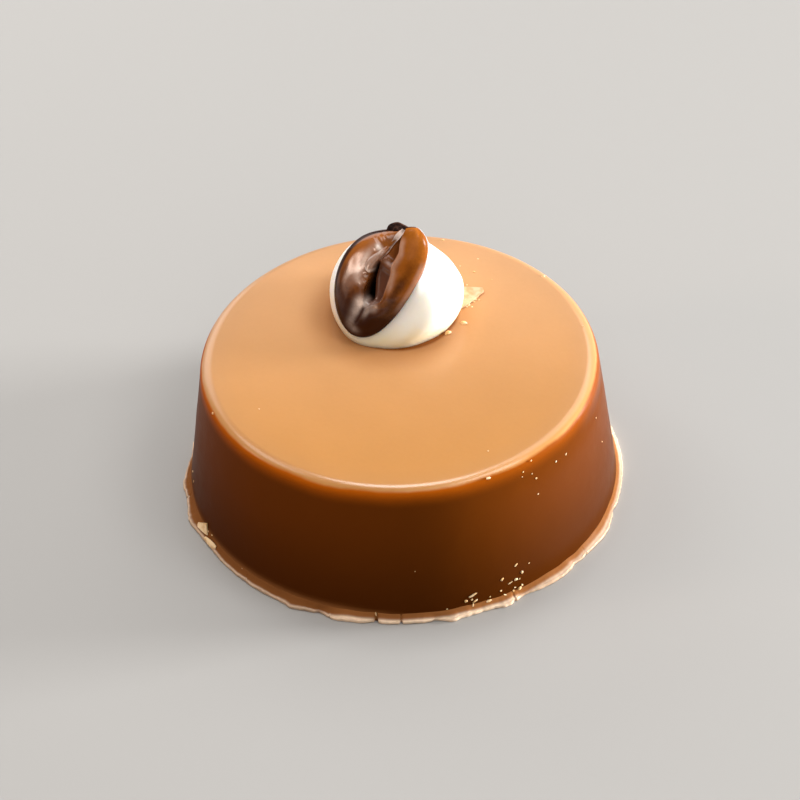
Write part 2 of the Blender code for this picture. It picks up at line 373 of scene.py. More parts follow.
class Recipe:
    """The node tree of one material, built round a Principled shader."""

    def __init__(self, name: str) -> None:
        """Start a material with that name."""
        self.material = bpy.data.materials.new(name)
        self.material.use_nodes = True
        self.tree = self.material.node_tree
        self.shader = self.tree.nodes["Principled BSDF"]
        self.point = self.add("ShaderNodeTexCoord", {}, {}, "Object")

    def add(self, kind: str, settings: dict, values: dict, output: str | int = 0) -> Signal:
        """Add a node.

        Args:
            kind: The node's type.
            settings: Its own settings, set before the sockets.
            values: A number, colour or signal for each input, by its name or number.
            output: Name or number of the output to return.

        Returns:
            The output as a signal.
        """
        node = self.tree.nodes.new(kind)
        for key, value in settings.items():
            setattr(node, key, value)
        for key, value in values.items():
            self.feed(node.inputs[key], value)
        return Signal(self, node.outputs[output])

    def feed(self, socket: bpy.types.NodeSocket, value: "Signal | float | tuple") -> None:
        """Link a signal to an input, or set the input's own value."""
        if isinstance(value, Signal):
            self.tree.links.new(value.socket, socket)
        elif isinstance(value, tuple) and len(value) == 3 and len(socket.default_value) == 4:
            socket.default_value = (*value, 1.0)
        else:
            socket.default_value = value

    def maths(self, operation: str, *values: "Signal | float") -> Signal:
        """Add a Math node with that operation."""
        return self.add("ShaderNodeMath", {"operation": operation}, dict(enumerate(values)))

    def axes(self) -> tuple[Signal, Signal, Signal]:
        """Return the object coordinates x, y and z as numbers, in metres."""
        parts = self.add("ShaderNodeSeparateXYZ", {}, {"Vector": self.point})
        return tuple(Signal(self, parts.socket.node.outputs[i]) for i in range(3))

    def away(self, across: Signal, back: Signal, centre: tuple) -> Signal:
        """Return the distance in metres from an upright line through that x and y in millimetres."""
        x, y = across - centre[0] * MM, back - centre[1] * MM
        return self.maths("SQRT", x * x + y * y)

    def mix(
        self, share: "Signal | float", first: "Signal | tuple", second: "Signal | tuple", mode: str = "MIX"
    ) -> Signal:
        """Mix two colours; share 0 gives the first."""
        settings = {"data_type": "RGBA", "blend_type": mode}
        return self.add("ShaderNodeMix", settings, {0: share, 6: first, 7: second}, 2)

    def noise(
        self, size: float, detail: float = 3.0, rough: float = 0.5, stretch: tuple | None = None
    ) -> Signal:
        """Add a noise on the object coordinates.

        Args:
            size: Rough size of its patches in millimetres.
            detail: Octaves of finer noise.
            rough: Strength of the finer octaves.
            stretch: Scale along x, y and z.

        Returns:
            The noise, about 0.3 to 0.7.
        """
        vector = self.point
        if stretch is not None:
            vector = self.add("ShaderNodeMapping", {}, {"Vector": self.point, "Scale": stretch})
        values = {"Vector": vector, "Scale": 1.0 / (size * MM), "Detail": detail, "Roughness": rough}
        return self.add("ShaderNodeTexNoise", {}, values)

    def layer(self, name: str) -> Signal:
        """Return the painted values that a mesh holds under that name."""
        return self.add("ShaderNodeAttribute", {"attribute_name": name}, {}, "Fac")

    def relief(self, height: Signal, depth: float, strength: float, under: Signal | None = None) -> Signal:
        """Add a Bump node.

        Args:
            height: Height from 0 to 1.
            depth: What height 1 stands for in millimetres.
            strength: Share of the effect.
            under: The normal that it adds to.

        Returns:
            The new normal.
        """
        values = {"Height": height, "Distance": depth * MM, "Strength": strength}
        if under is not None:
            values["Normal"] = under
        return self.add("ShaderNodeBump", {}, values)

    def finish(self, **values: "Signal | float | tuple") -> Material:
        """Feed the Principled shader's inputs, named with _ for a space, and return the material."""
        for key, value in values.items():
            self.feed(self.shader.inputs[key.replace("_", " ")], value)
        return self.material


# --- Finishes ---
@dataclass(frozen=True)
class MilkFinish:
    """Milk chocolate out of a polished mould: caramel top, deep brown wall darkened further as painted shade,
    pale broken brim.
    """

    top: tuple = (0.478, 0.220, 0.066)
    # The top's paler colour towards the back is a painted sheen.
    top_back_sheen: tuple = (0.550, 0.292, 0.138)
    # Amber of the rounded top edge: painted shade where the edge turns away from the lamps, and a painted
    # warm glow of light through the thin edge.
    amber: tuple = (0.46, 0.095, 0.003)
    # The wall's deep brown is partly painted shade: darker than the chocolate itself, as the wall faces away
    # from the lamps.
    wall: tuple = (0.124, 0.0285, 0.0022)
    # The foot's darker brown is painted shade.
    foot: tuple = (0.064, 0.0145, 0.0012)
    band: tuple = (0.30, 0.115, 0.035)
    broken: tuple = (0.80, 0.58, 0.40)
    # Colour of the painted shade in the crease round the dot's foot and of the dot's painted shadow.
    crease: tuple = (0.20, 0.055, 0.006)
    sheen: tuple = (1.0, 0.62, 0.35)
    roughness: float = 0.36
    # Heights between which the foot's darker brown, painted shade, turns into the wall's, the wall's into
    # amber, amber into the top's caramel, and the top's gloss sets in.
    foot_shade_rise: tuple = (0.0, 10.5)
    amber_rise: tuple = (10.3, 12.1)
    top_rise: tuple = (11.60, 11.84)
    gloss_rise: tuple = (11.66, 11.86)
    # How far those heights shift by noise, on the left and on the right, and between which x. At the left and
    # the right the top's caramel reaches further down the rounded edge, as a painted highlight.
    shift: float = 0.4
    left_highlight_shift: float = 0.15
    left_side: tuple = (-5.0, -14.0)
    right_highlight_shift: float = 0.10
    right_side: tuple = (5.0, 14.0)
    # The amber fades to a share towards the right, between two x, which leaves the darker wall brown there as
    # painted shade; the top pales between two y, towards the back, as a painted sheen.
    amber_shade_loss: float = 0.5
    amber_shade_span: tuple = (1.0, 9.0)
    top_sheen_span: tuple = (-14.0, 14.0)
    # Painted shade round the dot's foot: a thin dark ring in the crease where the dot meets the top, and a
    # wider ring at its left for the dot's painted shadow. x and y of the middle, distances from it, strength.
    crease_shade_ring: tuple = ((0.0, 5.65), (4.55, 4.95), 0.70)
    shade_ring: tuple = ((-0.60, 5.15), (4.5, 7.4), 0.45)
    # Gloss of the top, its share inside and outside the edge, and distances of the edge.
    top_gloss: float = 0.80
    edge_shares: tuple = (0.4, 0.6)
    edge_start: tuple = (12.4, 14.4)
    # Gloss of the right wall and of its upper rim: strength, x, heights.
    wall_gloss: tuple = (0.16, (5.0, 15.0), (1.0, 2.5), (8.0, 10.5))
    rim_gloss: tuple = (0.35, (13.0, 15.0), (9.5, 10.8))
    broken_gloss: float = 0.4

    def gloss(self, across: Signal, up: Signal, level: Signal, edge: Signal, broken: Signal) -> Signal:
        """Return the weight of the coat.

        Args:
            across: Object coordinate x.
            up: Object coordinate z.
            level: Height with its shifts.
            edge: 0 inside the top's edge and 1 on it.
            broken: The painted layer of that name.

        Returns:
            The weight.
        """
        inner, outer = self.edge_shares
        wall, wall_x, wall_low, wall_high = self.wall_gloss
        rim, rim_x, rim_low = self.rim_gloss
        return (
            self.top_gloss * level.rise(*self.gloss_rise) * (inner + outer * edge)
            + wall * across.rise(*wall_x) * up.rise(*wall_low) * (1.0 - up.rise(*wall_high))
            + rim * across.rise(*rim_x) * up.rise(*rim_low)
            + self.broken_gloss * broken
        )

    def make(self) -> Material:
        """Build the material.

        The colour deepens down the wall as painted shade, and goes through amber, painted shade and glow of
        the edge, to the top's caramel over the rounded edge, where the gloss grows too. At the left and right
        the caramel reaches further down, a painted highlight, and towards the right the amber gives way to
        painted shade; the top pales towards the back as a painted sheen. It is darker in the crease round the
        dot's foot and to the dot's left, painted shade and the dot's painted shadow. The painted layers
        `band` and `broken` lighten the foot and the brim's broken edge.
        """
        recipe = Recipe("milk_chocolate")
        across, back, up = recipe.axes()
        band, broken = recipe.layer("band"), recipe.layer("broken")
        clouds = recipe.noise(size=5.0, detail=4.0)
        grain = recipe.noise(size=0.35)
        # At the left and the right the top's caramel reaches further down the rounded edge: a painted
        # highlight.
        shift = across.rise(*self.left_side) * (self.left_highlight_shift * MM)
        level = up + shift + (clouds - 0.5) * (self.shift * MM)
        golden = level + across.rise(*self.right_side) * (self.right_highlight_shift * MM)
        edge = recipe.away(across, back, (0.0, 0.0)).rise(*self.edge_start)
        # Painted shade: a thin dark ring in the crease round the dot's foot, and the dot's wider painted
        # shadow at its left.
        crease, shade = (
            (1.0 - recipe.away(across, back, centre).rise(*span)) * strength
            for centre, span, strength in (self.crease_shade_ring, self.shade_ring)
        )
        # Less amber towards the right: painted shade that holds back the side lamp on the right edge.
        amber_shaded = 1.0 - self.amber_shade_loss * across.rise(*self.amber_shade_span)
        # The wall darkens towards the foot as painted shade.
        colour = recipe.mix(up.rise(*self.foot_shade_rise), self.foot, self.wall)
        # Over the rounded edge the colour turns amber: painted shade and painted glow of the edge.
        colour = recipe.mix(level.rise(*self.amber_rise) * amber_shaded, colour, self.amber)
        # The top pales towards the back as a painted sheen.
        top = recipe.mix(back.rise(*self.top_sheen_span), self.top, self.top_back_sheen)
        # The painted shade and shadow darken the top round the dot.
        top = recipe.mix(crease + shade, top, self.crease)
        colour = recipe.mix(golden.rise(*self.top_rise), colour, top)
        colour = recipe.mix(band * 0.9, colour, self.band)
        colour = recipe.mix(broken * (0.75 + 0.5 * grain), colour, self.broken)
        colour = recipe.mix(1.0, colour, 0.93 + (clouds * 0.10 + grain * 0.04), "MULTIPLY")
        soft = recipe.relief(clouds, depth=0.6, strength=0.10)
        return recipe.finish(
            Base_Color=colour,
            Roughness=self.roughness + (recipe.noise(size=1.2) - 0.5) * 0.16 + broken * 0.2,
            Normal=recipe.relief(grain, depth=0.05, strength=0.10, under=soft),
            Specular_IOR_Level=0.015,
            Specular_Tint=self.sheen,
            Coat_Weight=self.gloss(across, up, level, edge, broken),
            Coat_Roughness=0.24,
            Coat_IOR=1.7,
            Subsurface_Weight=0.08,
            Subsurface_Radius=(1.0, 0.45, 0.2),
            Subsurface_Scale=0.6 * MM,
        )


@dataclass(frozen=True)
class WhiteFinish:
    """White chocolate piped as a dot: ivory, satin, faintly uneven."""

    body: tuple = (0.95, 0.92, 0.84)
    # Colour of the painted shade at the foot, deeper and warmer; random patches also take a little of it as
    # tone.
    shade: tuple = (0.93, 0.80, 0.50)
    roughness: float = 0.32
    # Heights between which the foot's painted shade, deeper and warmer, ends, their shift by noise, and the
    # shade's strength.
    foot_rise: tuple = (12.2, 14.6)
    shift: float = 1.2
    foot_shade: float = 0.85
    patch_tone: float = 0.10

    def make(self) -> Material:
        """Build the material: ivory that turns a little deeper and warmer towards the foot, as painted shade.
        """
        recipe = Recipe("white_chocolate")
        _, _, up = recipe.axes()
        clouds = recipe.noise(size=2.0, detail=4.0)
        grain = recipe.noise(size=0.25)
        foot = 1.0 - (up + (clouds - 0.5) * (self.shift * MM)).rise(*self.foot_rise)
        # The foot turns deeper and warmer as painted shade.
        colour = recipe.mix(foot * self.foot_shade, self.body, self.shade)
        patches = recipe.noise(size=0.9).step(0.55, 0.75)
        colour = recipe.mix(patches * self.patch_tone, colour, self.shade)
        soft = recipe.relief(clouds, depth=0.3, strength=0.10)
        return recipe.finish(
            Base_Color=colour,
            Roughness=self.roughness + (clouds - 0.5) * 0.2,
            Normal=recipe.relief(grain, depth=0.04, strength=0.10, under=soft),
            Specular_IOR_Level=0.4,
            Subsurface_Weight=0.7,
            Subsurface_Radius=(1.0, 0.88, 0.66),
            Subsurface_Scale=1.8 * MM,
        )


@dataclass(frozen=True)
class RoastFinish:
    """Roasted coffee bean: oily brown skin, maroon crease, a grey film where the crease closes, and painted
    highlights and reflections in the film's pale colour.
    """

    light: tuple = (0.39, 0.113, 0.012)
    dark: tuple = (0.032, 0.0065, 0.001)
    inner: tuple = (0.125, 0.040, 0.018)
    # Pale colour of the grey film, also used for painted highlights and reflections on the lobes, the roll
    # and the lips.
    film: tuple = (0.80, 0.66, 0.57)
    deep: tuple = (0.002, 0.001, 0.001)
    roughness: float = 0.26
    # The oily gloss: its strength, what the darkest roast takes of it and from where, and what the
    # right side takes of it and between which x.
    gloss: float = 0.9
    roast_loss: float = 0.85
    roast_start: tuple = (0.55, 1.1)
    right_loss: float = 0.95
    right_side: tuple = (-0.8, 0.8)

    def make(self) -> Material:
        """Build the material from the painted layers `roast`, `inner`, `film` and `deep`; `film` also holds
        painted highlights and reflections.
        """
        recipe = Recipe("roasted_coffee")
        across, _, _ = recipe.axes()
        inner, deep = recipe.layer("inner"), recipe.layer("deep")
        clouds = recipe.noise(size=1.4, detail=5.0, rough=0.6)
        grain = recipe.noise(size=0.22, detail=4.0, rough=0.6)
        wrinkles = recipe.noise(size=0.5, rough=0.6, stretch=(1.0, 1.0, 0.45))
        roast = recipe.layer("roast") + (clouds - 0.5) * 0.45 + (grain - 0.5) * 0.2
        colour = recipe.mix(roast.step(0.0, 1.0), self.light, self.dark)
        colour = recipe.mix(inner, colour, self.inner)
        # The film colour: real film where the crease closes, with painted sheen on it, and painted highlights
        # and reflections elsewhere.
        colour = recipe.mix(recipe.layer("film") * (0.5 + grain), colour, self.film)
        colour = recipe.mix(deep, colour, self.deep)
        dull = 1.0 - self.roast_loss * roast.step(*self.roast_start)
        dull_right = 1.0 - self.right_loss * across.rise(*self.right_side)
        soft = recipe.relief(wrinkles, depth=0.12, strength=0.06)
        return recipe.finish(
            Base_Color=colour,
            Roughness=self.roughness + (clouds - 0.5) * 0.15 + inner * 0.10,
            Normal=recipe.relief(grain, depth=0.02, strength=0.06, under=soft),
            Coat_Weight=self.gloss * (1.0 - deep) * dull * dull_right,
            Coat_Roughness=0.18,
            Coat_IOR=1.7,
            Specular_IOR_Level=0.03,
        )


@dataclass(frozen=True)
class SkinFinish:
    """Papery silverskin and charred seed skin, from near black to a warm grey."""

    name: str = "silverskin"
    dark: tuple = (0.12, 0.070, 0.052)
    pale: tuple = (0.66, 0.50, 0.42)
    gloss: float = 0.2
    roughness: float = 0.42

    def make(self) -> Material:
        """Build the material: pale fibres run through the dark skin, and its free edge is pale; on the ribbon
        the `edge` layer also holds a painted highlight near its upper end.
        """
        recipe = Recipe(self.name)
        fibre = recipe.noise(size=0.3, detail=4.0, rough=0.6, stretch=(1.0, 1.0, 0.3))
        share = fibre.step(0.45, 0.75) * 0.5 + recipe.layer("edge") * 0.9
        return recipe.finish(
            Base_Color=recipe.mix(share, self.dark, self.pale),
            Roughness=self.roughness + (fibre - 0.5) * 0.3,
            Normal=recipe.relief(fibre, depth=0.05, strength=0.3),
            Specular_IOR_Level=self.gloss,
        )


@dataclass(frozen=True)
class CrumbFinish:
    """Dry crumbs and flakes scraped off milk chocolate: pale caramel with creamy faces."""

    name: str = "chocolate_crumbs"
    cream: tuple = (0.86, 0.62, 0.36)
    caramel: tuple = (0.70, 0.42, 0.17)
    roughness: float = 0.55

    def make(self) -> Material:
        """Build the material: patches of the two colours."""
        recipe = Recipe(self.name)
        patches = recipe.noise(size=0.6).step(0.42, 0.62)
        grain = recipe.noise(size=0.08)
        return recipe.finish(
            Base_Color=recipe.mix(patches, self.cream, self.caramel),
            Roughness=self.roughness + (grain - 0.5) * 0.3,
            Normal=recipe.relief(grain, depth=0.03, strength=0.4),
            Subsurface_Weight=0.15,
            Subsurface_Radius=(1.0, 0.6, 0.3),
            Subsurface_Scale=0.3 * MM,
        )


CHARRED_SKIN = SkinFinish("charred_skin", (0.010, 0.004, 0.003), (0.10, 0.045, 0.030), 0.02)
CHIP = CrumbFinish("chocolate_chip", (0.66, 0.42, 0.25), (0.56, 0.30, 0.14))


# --- Milk chocolate body ---
@dataclass
class MouldedBody:
    """The round tablet: flat underside, tapered wall, rounded top edge and flat top."""

    height: float = 12.0
    top_radius: float = 15.2
    foot_radius: float = 16.6
    edge_round: float = 1.0
    # Radius of the innermost ring of the underside and of the top, which a middle point closes.
    under_start: float = 0.4
    top_end: float = 0.15
    columns: int = 720
    under_rows: int = 8
    wall_rows: int = 40
    edge_rows: int = 24
    top_rows: int = 36
    # The wall's faint dents: depth, spacing, and the heights and radii between which they grow.
    dent: float = 0.02
    dent_spacing: float = 6.0
    dent_heights: tuple = (0.1, 1.5)
    dent_radii: tuple = (8.0, 15.0)
    # The top's faint hollow: half its depth, spacing, and where it grows.
    hollow: float = 0.012
    hollow_spacing: float = 9.0
    hollow_heights: tuple = (11.9, 12.0)
    hollow_radii: tuple = (14.0, 9.0)
    # The pale band at the foot is taller and stronger round an azimuth at the left: middle and
    # reach in degrees, height, strength, and what each gains there.
    left_middle: float = -150.0
    left_reach: tuple = (75.0, 40.0)
    band_height: tuple = (0.55, 0.75)
    band_strength: tuple = (0.65, 0.35)
    band_fade: tuple = (1.0, 0.35)
    band_foot: tuple = (-0.2, 0.1)

    def wall_radius(self, height: np.ndarray | float) -> np.ndarray | float:
        """Return the radius of the tapered wall at a height."""
        return self.foot_radius + (self.top_radius - self.foot_radius) * height / self.height

    def profile(self) -> tuple[np.ndarray, np.ndarray]:
        """Return radius and height from the middle of the underside to the middle of the top."""
        turn = math.pi / 2.0 - math.atan2(self.foot_radius - self.top_radius, self.height)
        flat = self.top_radius - self.edge_round * math.tan(turn / 2.0)
        angle = np.linspace(turn, 0.0, self.edge_rows)
        edge_r = flat + self.edge_round * np.sin(angle)
        edge_z = self.height - self.edge_round * (1.0 - np.cos(angle))
        wall_z = np.linspace(0.0, edge_z[0], self.wall_rows, endpoint=False)
        under_r = np.linspace(self.under_start, self.foot_radius, self.under_rows, endpoint=False)
        top_r = np.linspace(flat, self.top_end, self.top_rows + 1)[1:]
        radius = np.concatenate([under_r, self.wall_radius(wall_z), edge_r, top_r])
        height = np.concatenate([np.zeros_like(under_r), wall_z, edge_z, np.full_like(top_r, self.height)])
        return radius, height

    def band(self, azimuth: np.ndarray, height: np.ndarray) -> np.ndarray:
        """Return how strong the pale band at the foot is at an azimuth in radians and a height.

        Args:
            azimuth: Azimuths in radians.
            height: Heights of the points.

        Returns:
            The strength, from 0 to 1.
        """
        left = ramp(np.abs(turned(np.degrees(azimuth), self.left_middle)), *self.left_reach)
        reach = self.band_height[0] + self.band_height[1] * left
        strength = self.band_strength[0] + self.band_strength[1] * left
        return ramp(height / reach, *self.band_fade) * ramp(height, *self.band_foot) * strength

    def build(self, material: Material) -> Object:
        """Spin the profile round +Z, with a faint unevenness of the mould, and paint its foot.

        Args:
            material: Its finish.

        Returns:
            The body.
        """
        azimuth = np.linspace(-math.pi, math.pi, self.columns, endpoint=False)
        radius, height = (values[:, None] for values in self.profile())
        flat = around(radius, azimuth, height)
        dents = self.dent * wobble(flat, self.dent_spacing, 3)
        dents = dents * ramp(height, *self.dent_heights) * ramp(radius, *self.dent_radii)
        hollow = self.hollow * (1.0 + wobble(flat, self.hollow_spacing, 5))
        points = flat.copy()
        points[..., :2] *= 1.0 - (np.abs(dents) / np.maximum(radius, 1.0))[..., None]
        points[..., 2] -= hollow * ramp(height, *self.hollow_heights) * ramp(radius, *self.hollow_radii)
        paint = np.append(self.band(azimuth, height).ravel(), [0.0, 0.0])
        layers = {"band": paint, "broken": 0.0 * paint}
        made = Mesher.piece("praline_body", *Mesher.tube(points), material, Slot.MILK, layers)
        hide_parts("body")
        return made


@dataclass
class BrokenBrim:
    """The thin brim left by the mould round the foot, broken off raggedly."""

    body: MouldedBody
    radius: float = 17.0
    thickness: float = 0.28
    edge_round: float = 0.08
    blend_height: float = 0.45
    blend_rows: int = 11
    columns: int = 2400
    # The section's hidden end: height at which the wall is taken, and how far inside it.
    inside_height: float = 1.0
    inside_depth: float = 0.5
    # The broken edge: inset from the rim, share of the thickness, height added, how bare it is.
    lip: tuple = (
        (0.08, 0.0, 0.0, 0.6), (0.03, 0.0, 0.02, 1.0), (0.0, 0.25, 0.0, 1.0), (0.01, 0.5, 0.0, 1.0),
        (0.0, 0.72, 0.0, 1.0), (0.03, 0.93, 0.0, 1.0), (0.08, 1.0, 0.0, 1.0),
    )
    # Chips (negative) and tongues (positive): azimuth and half width in degrees, change of radius.
    chips: tuple = (
        (-18.0, 1.8, -0.16), (-27.0, 5.0, 0.16), (-40.5, 1.8, -0.12), (-46.5, 5.0, 0.12),
        (-57.5, 3.0, -0.24), (-64.0, 1.8, 0.20), (-70.0, 4.0, -0.15), (-79.0, 1.6, 0.22),
        (-83.0, 2.0, -0.15), (-99.0, 1.8, -0.20), (-109.0, 3.0, 0.13), (-113.5, 1.8, -0.22),
        (-121.0, 2.4, 0.26), (-153.0, 4.0, -0.12), (-165.0, 4.0, 0.28), (-179.0, 3.0, 0.20),
        (170.0, 4.0, -0.22), (141.0, 3.0, 0.18), (128.0, 5.0, -0.14), (103.0, 2.5, -0.22),
        (88.0, 5.0, 0.14), (61.0, 2.5, 0.20), (47.0, 3.0, -0.20), (25.0, 4.0, 0.12),
    )
    # Cracks between shards: azimuth and half width in degrees, depth.
    cracks: tuple = (
        (-98.6, 0.45, 0.30), (-92.1, 0.35, 0.26), (-110.8, 0.20, 0.10), (-61.5, 0.30, 0.12),
        (-36.0, 0.20, 0.06), (12.0, 0.35, 0.20), (74.0, 0.30, 0.22), (118.0, 0.40, 0.25),
        (152.0, 0.30, 0.20), (-137.0, 0.20, 0.08), (-173.5, 0.30, 0.10),
    )
    # Fine raggedness of the broken edge: size, spacing and the radii between which it grows.
    ragged: float = 0.02
    ragged_spacing: float = 0.7
    ragged_radii: tuple = (16.62, 16.9)
    # The bare break shows past these radii and shares of the section. Round two azimuths, at the left and at
    # the right, it and the band are darker: middle and reach in degrees, darkening of each; at the right the
    # darkening is painted shade against the side lamp. At the left the break is narrower too.
    bare_radii: tuple = (16.58, 16.90)
    bare_shares: tuple = (0.30, 0.75)
    left_part: tuple = (-150.0, (44.0, 36.0))
    right_shade_part: tuple = (-30.0, (40.0, 20.0))
    narrower: float = 0.35
    break_darker: tuple = (0.30, 0.42)
    band_darker: tuple = (0.35, 0.30)

    def outline(self, azimuth: np.ndarray) -> np.ndarray:
        """Return the ragged radius: ripples, soft chips and tongues, and fine cracks.

        Args:
            azimuth: Azimuths in radians.

        Returns:
            The radius at each azimuth.
        """
        radius = self.radius + ripple(azimuth, range(6, 15), 0.02, 4)
        degrees = np.degrees(azimuth)
        for centre, half_width, change in self.chips:
            radius = radius + change * bump(turned(degrees, centre), half_width)
        for centre, half_width, depth in self.cracks:
            radius = radius - depth * ramp(np.abs(turned(degrees, centre)) / half_width, 1.5, 0.5)
        return radius + ripple(azimuth, range(60, 240, 7), 0.005, 8)

    def section(self, azimuth: np.ndarray) -> tuple[np.ndarray, np.ndarray, np.ndarray]:
        """Return the brim's section at every azimuth: radius, height and how bare each point is.

        The section is a closed loop: underside, broken edge, top, and a soft hollow up the wall.

        Args:
            azimuth: Azimuths in radians.

        Returns:
            Three arrays, one row for each point of the section.
        """
        rim = self.outline(azimuth)
        thick = self.thickness * (1.0 + ripple(azimuth, range(5, 60, 4), 0.05, 21))
        edge = rim - self.edge_round
        blend_top = self.thickness + self.blend_height
        wall = self.body.wall_radius(blend_top)
        inside = self.body.wall_radius(self.inside_height) - self.inside_depth
        rows = [(inside, 0.0, 0.0)]
        rows += [(rim - inset, thick * share + lift, bare) for inset, share, lift, bare in self.lip]
        for share in np.linspace(0.0, 1.0, self.blend_rows + 1)[1:]:
            rows.append((edge + (wall - edge) * share, thick + self.blend_height * share**2, 1.0 - share))
        rows.append((inside, blend_top, 0.0))
        table = np.array([np.broadcast_arrays(*row, azimuth)[:3] for row in rows])
        return table[:, 0], table[:, 1], table[:, 2]

    def paint(self, azimuth: np.ndarray, radius: np.ndarray, shares: np.ndarray) -> dict[str, np.ndarray]:
        """Return the painted layers `band` and `broken` at the section's points.

        Args:
            azimuth: Azimuths in radians.
            radius: Radii of the points.
            shares: How bare each point is.

        Returns:
            The values by layer.
        """
        degrees = np.degrees(azimuth)
        left = ramp(np.abs(turned(degrees, self.left_part[0])), *self.left_part[1])
        # At the right the darker break and band are painted shade.
        right = ramp(np.abs(degrees - self.right_shade_part[0]), *self.right_shade_part[1])
        pale, band = (
            1.0 - dark[0] * left - dark[1] * right for dark in (self.break_darker, self.band_darker)
        )
        bare = ramp(shares - self.narrower * left, *self.bare_shares) * ramp(radius, *self.bare_radii)
        return {"band": (1.0 - bare * pale) * band, "broken": bare * pale}

    def build(self, material: Material) -> Object:
        """Carry the brim's section round the foot and paint its broken edge.

        Args:
            material: Its finish.

        Returns:
            The brim.
        """
        azimuth = np.linspace(-math.pi, math.pi, self.columns, endpoint=False)
        radius, height, shares = self.section(azimuth)
        ragged = wobble(around(radius, azimuth, height), self.ragged_spacing, 31)
        radius = radius + self.ragged * ragged * ramp(radius, *self.ragged_radii)
        low, high = (np.array(corner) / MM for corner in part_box("body"))
        points = np.clip(around(radius, azimuth, height), low, high)
        faces = Mesher.grid(len(radius), self.columns, True, True).tolist()
        layers = self.paint(azimuth, radius, shares)
        return Mesher.piece("broken_brim", points.reshape(-1, 3), faces, material, Slot.MILK, layers)


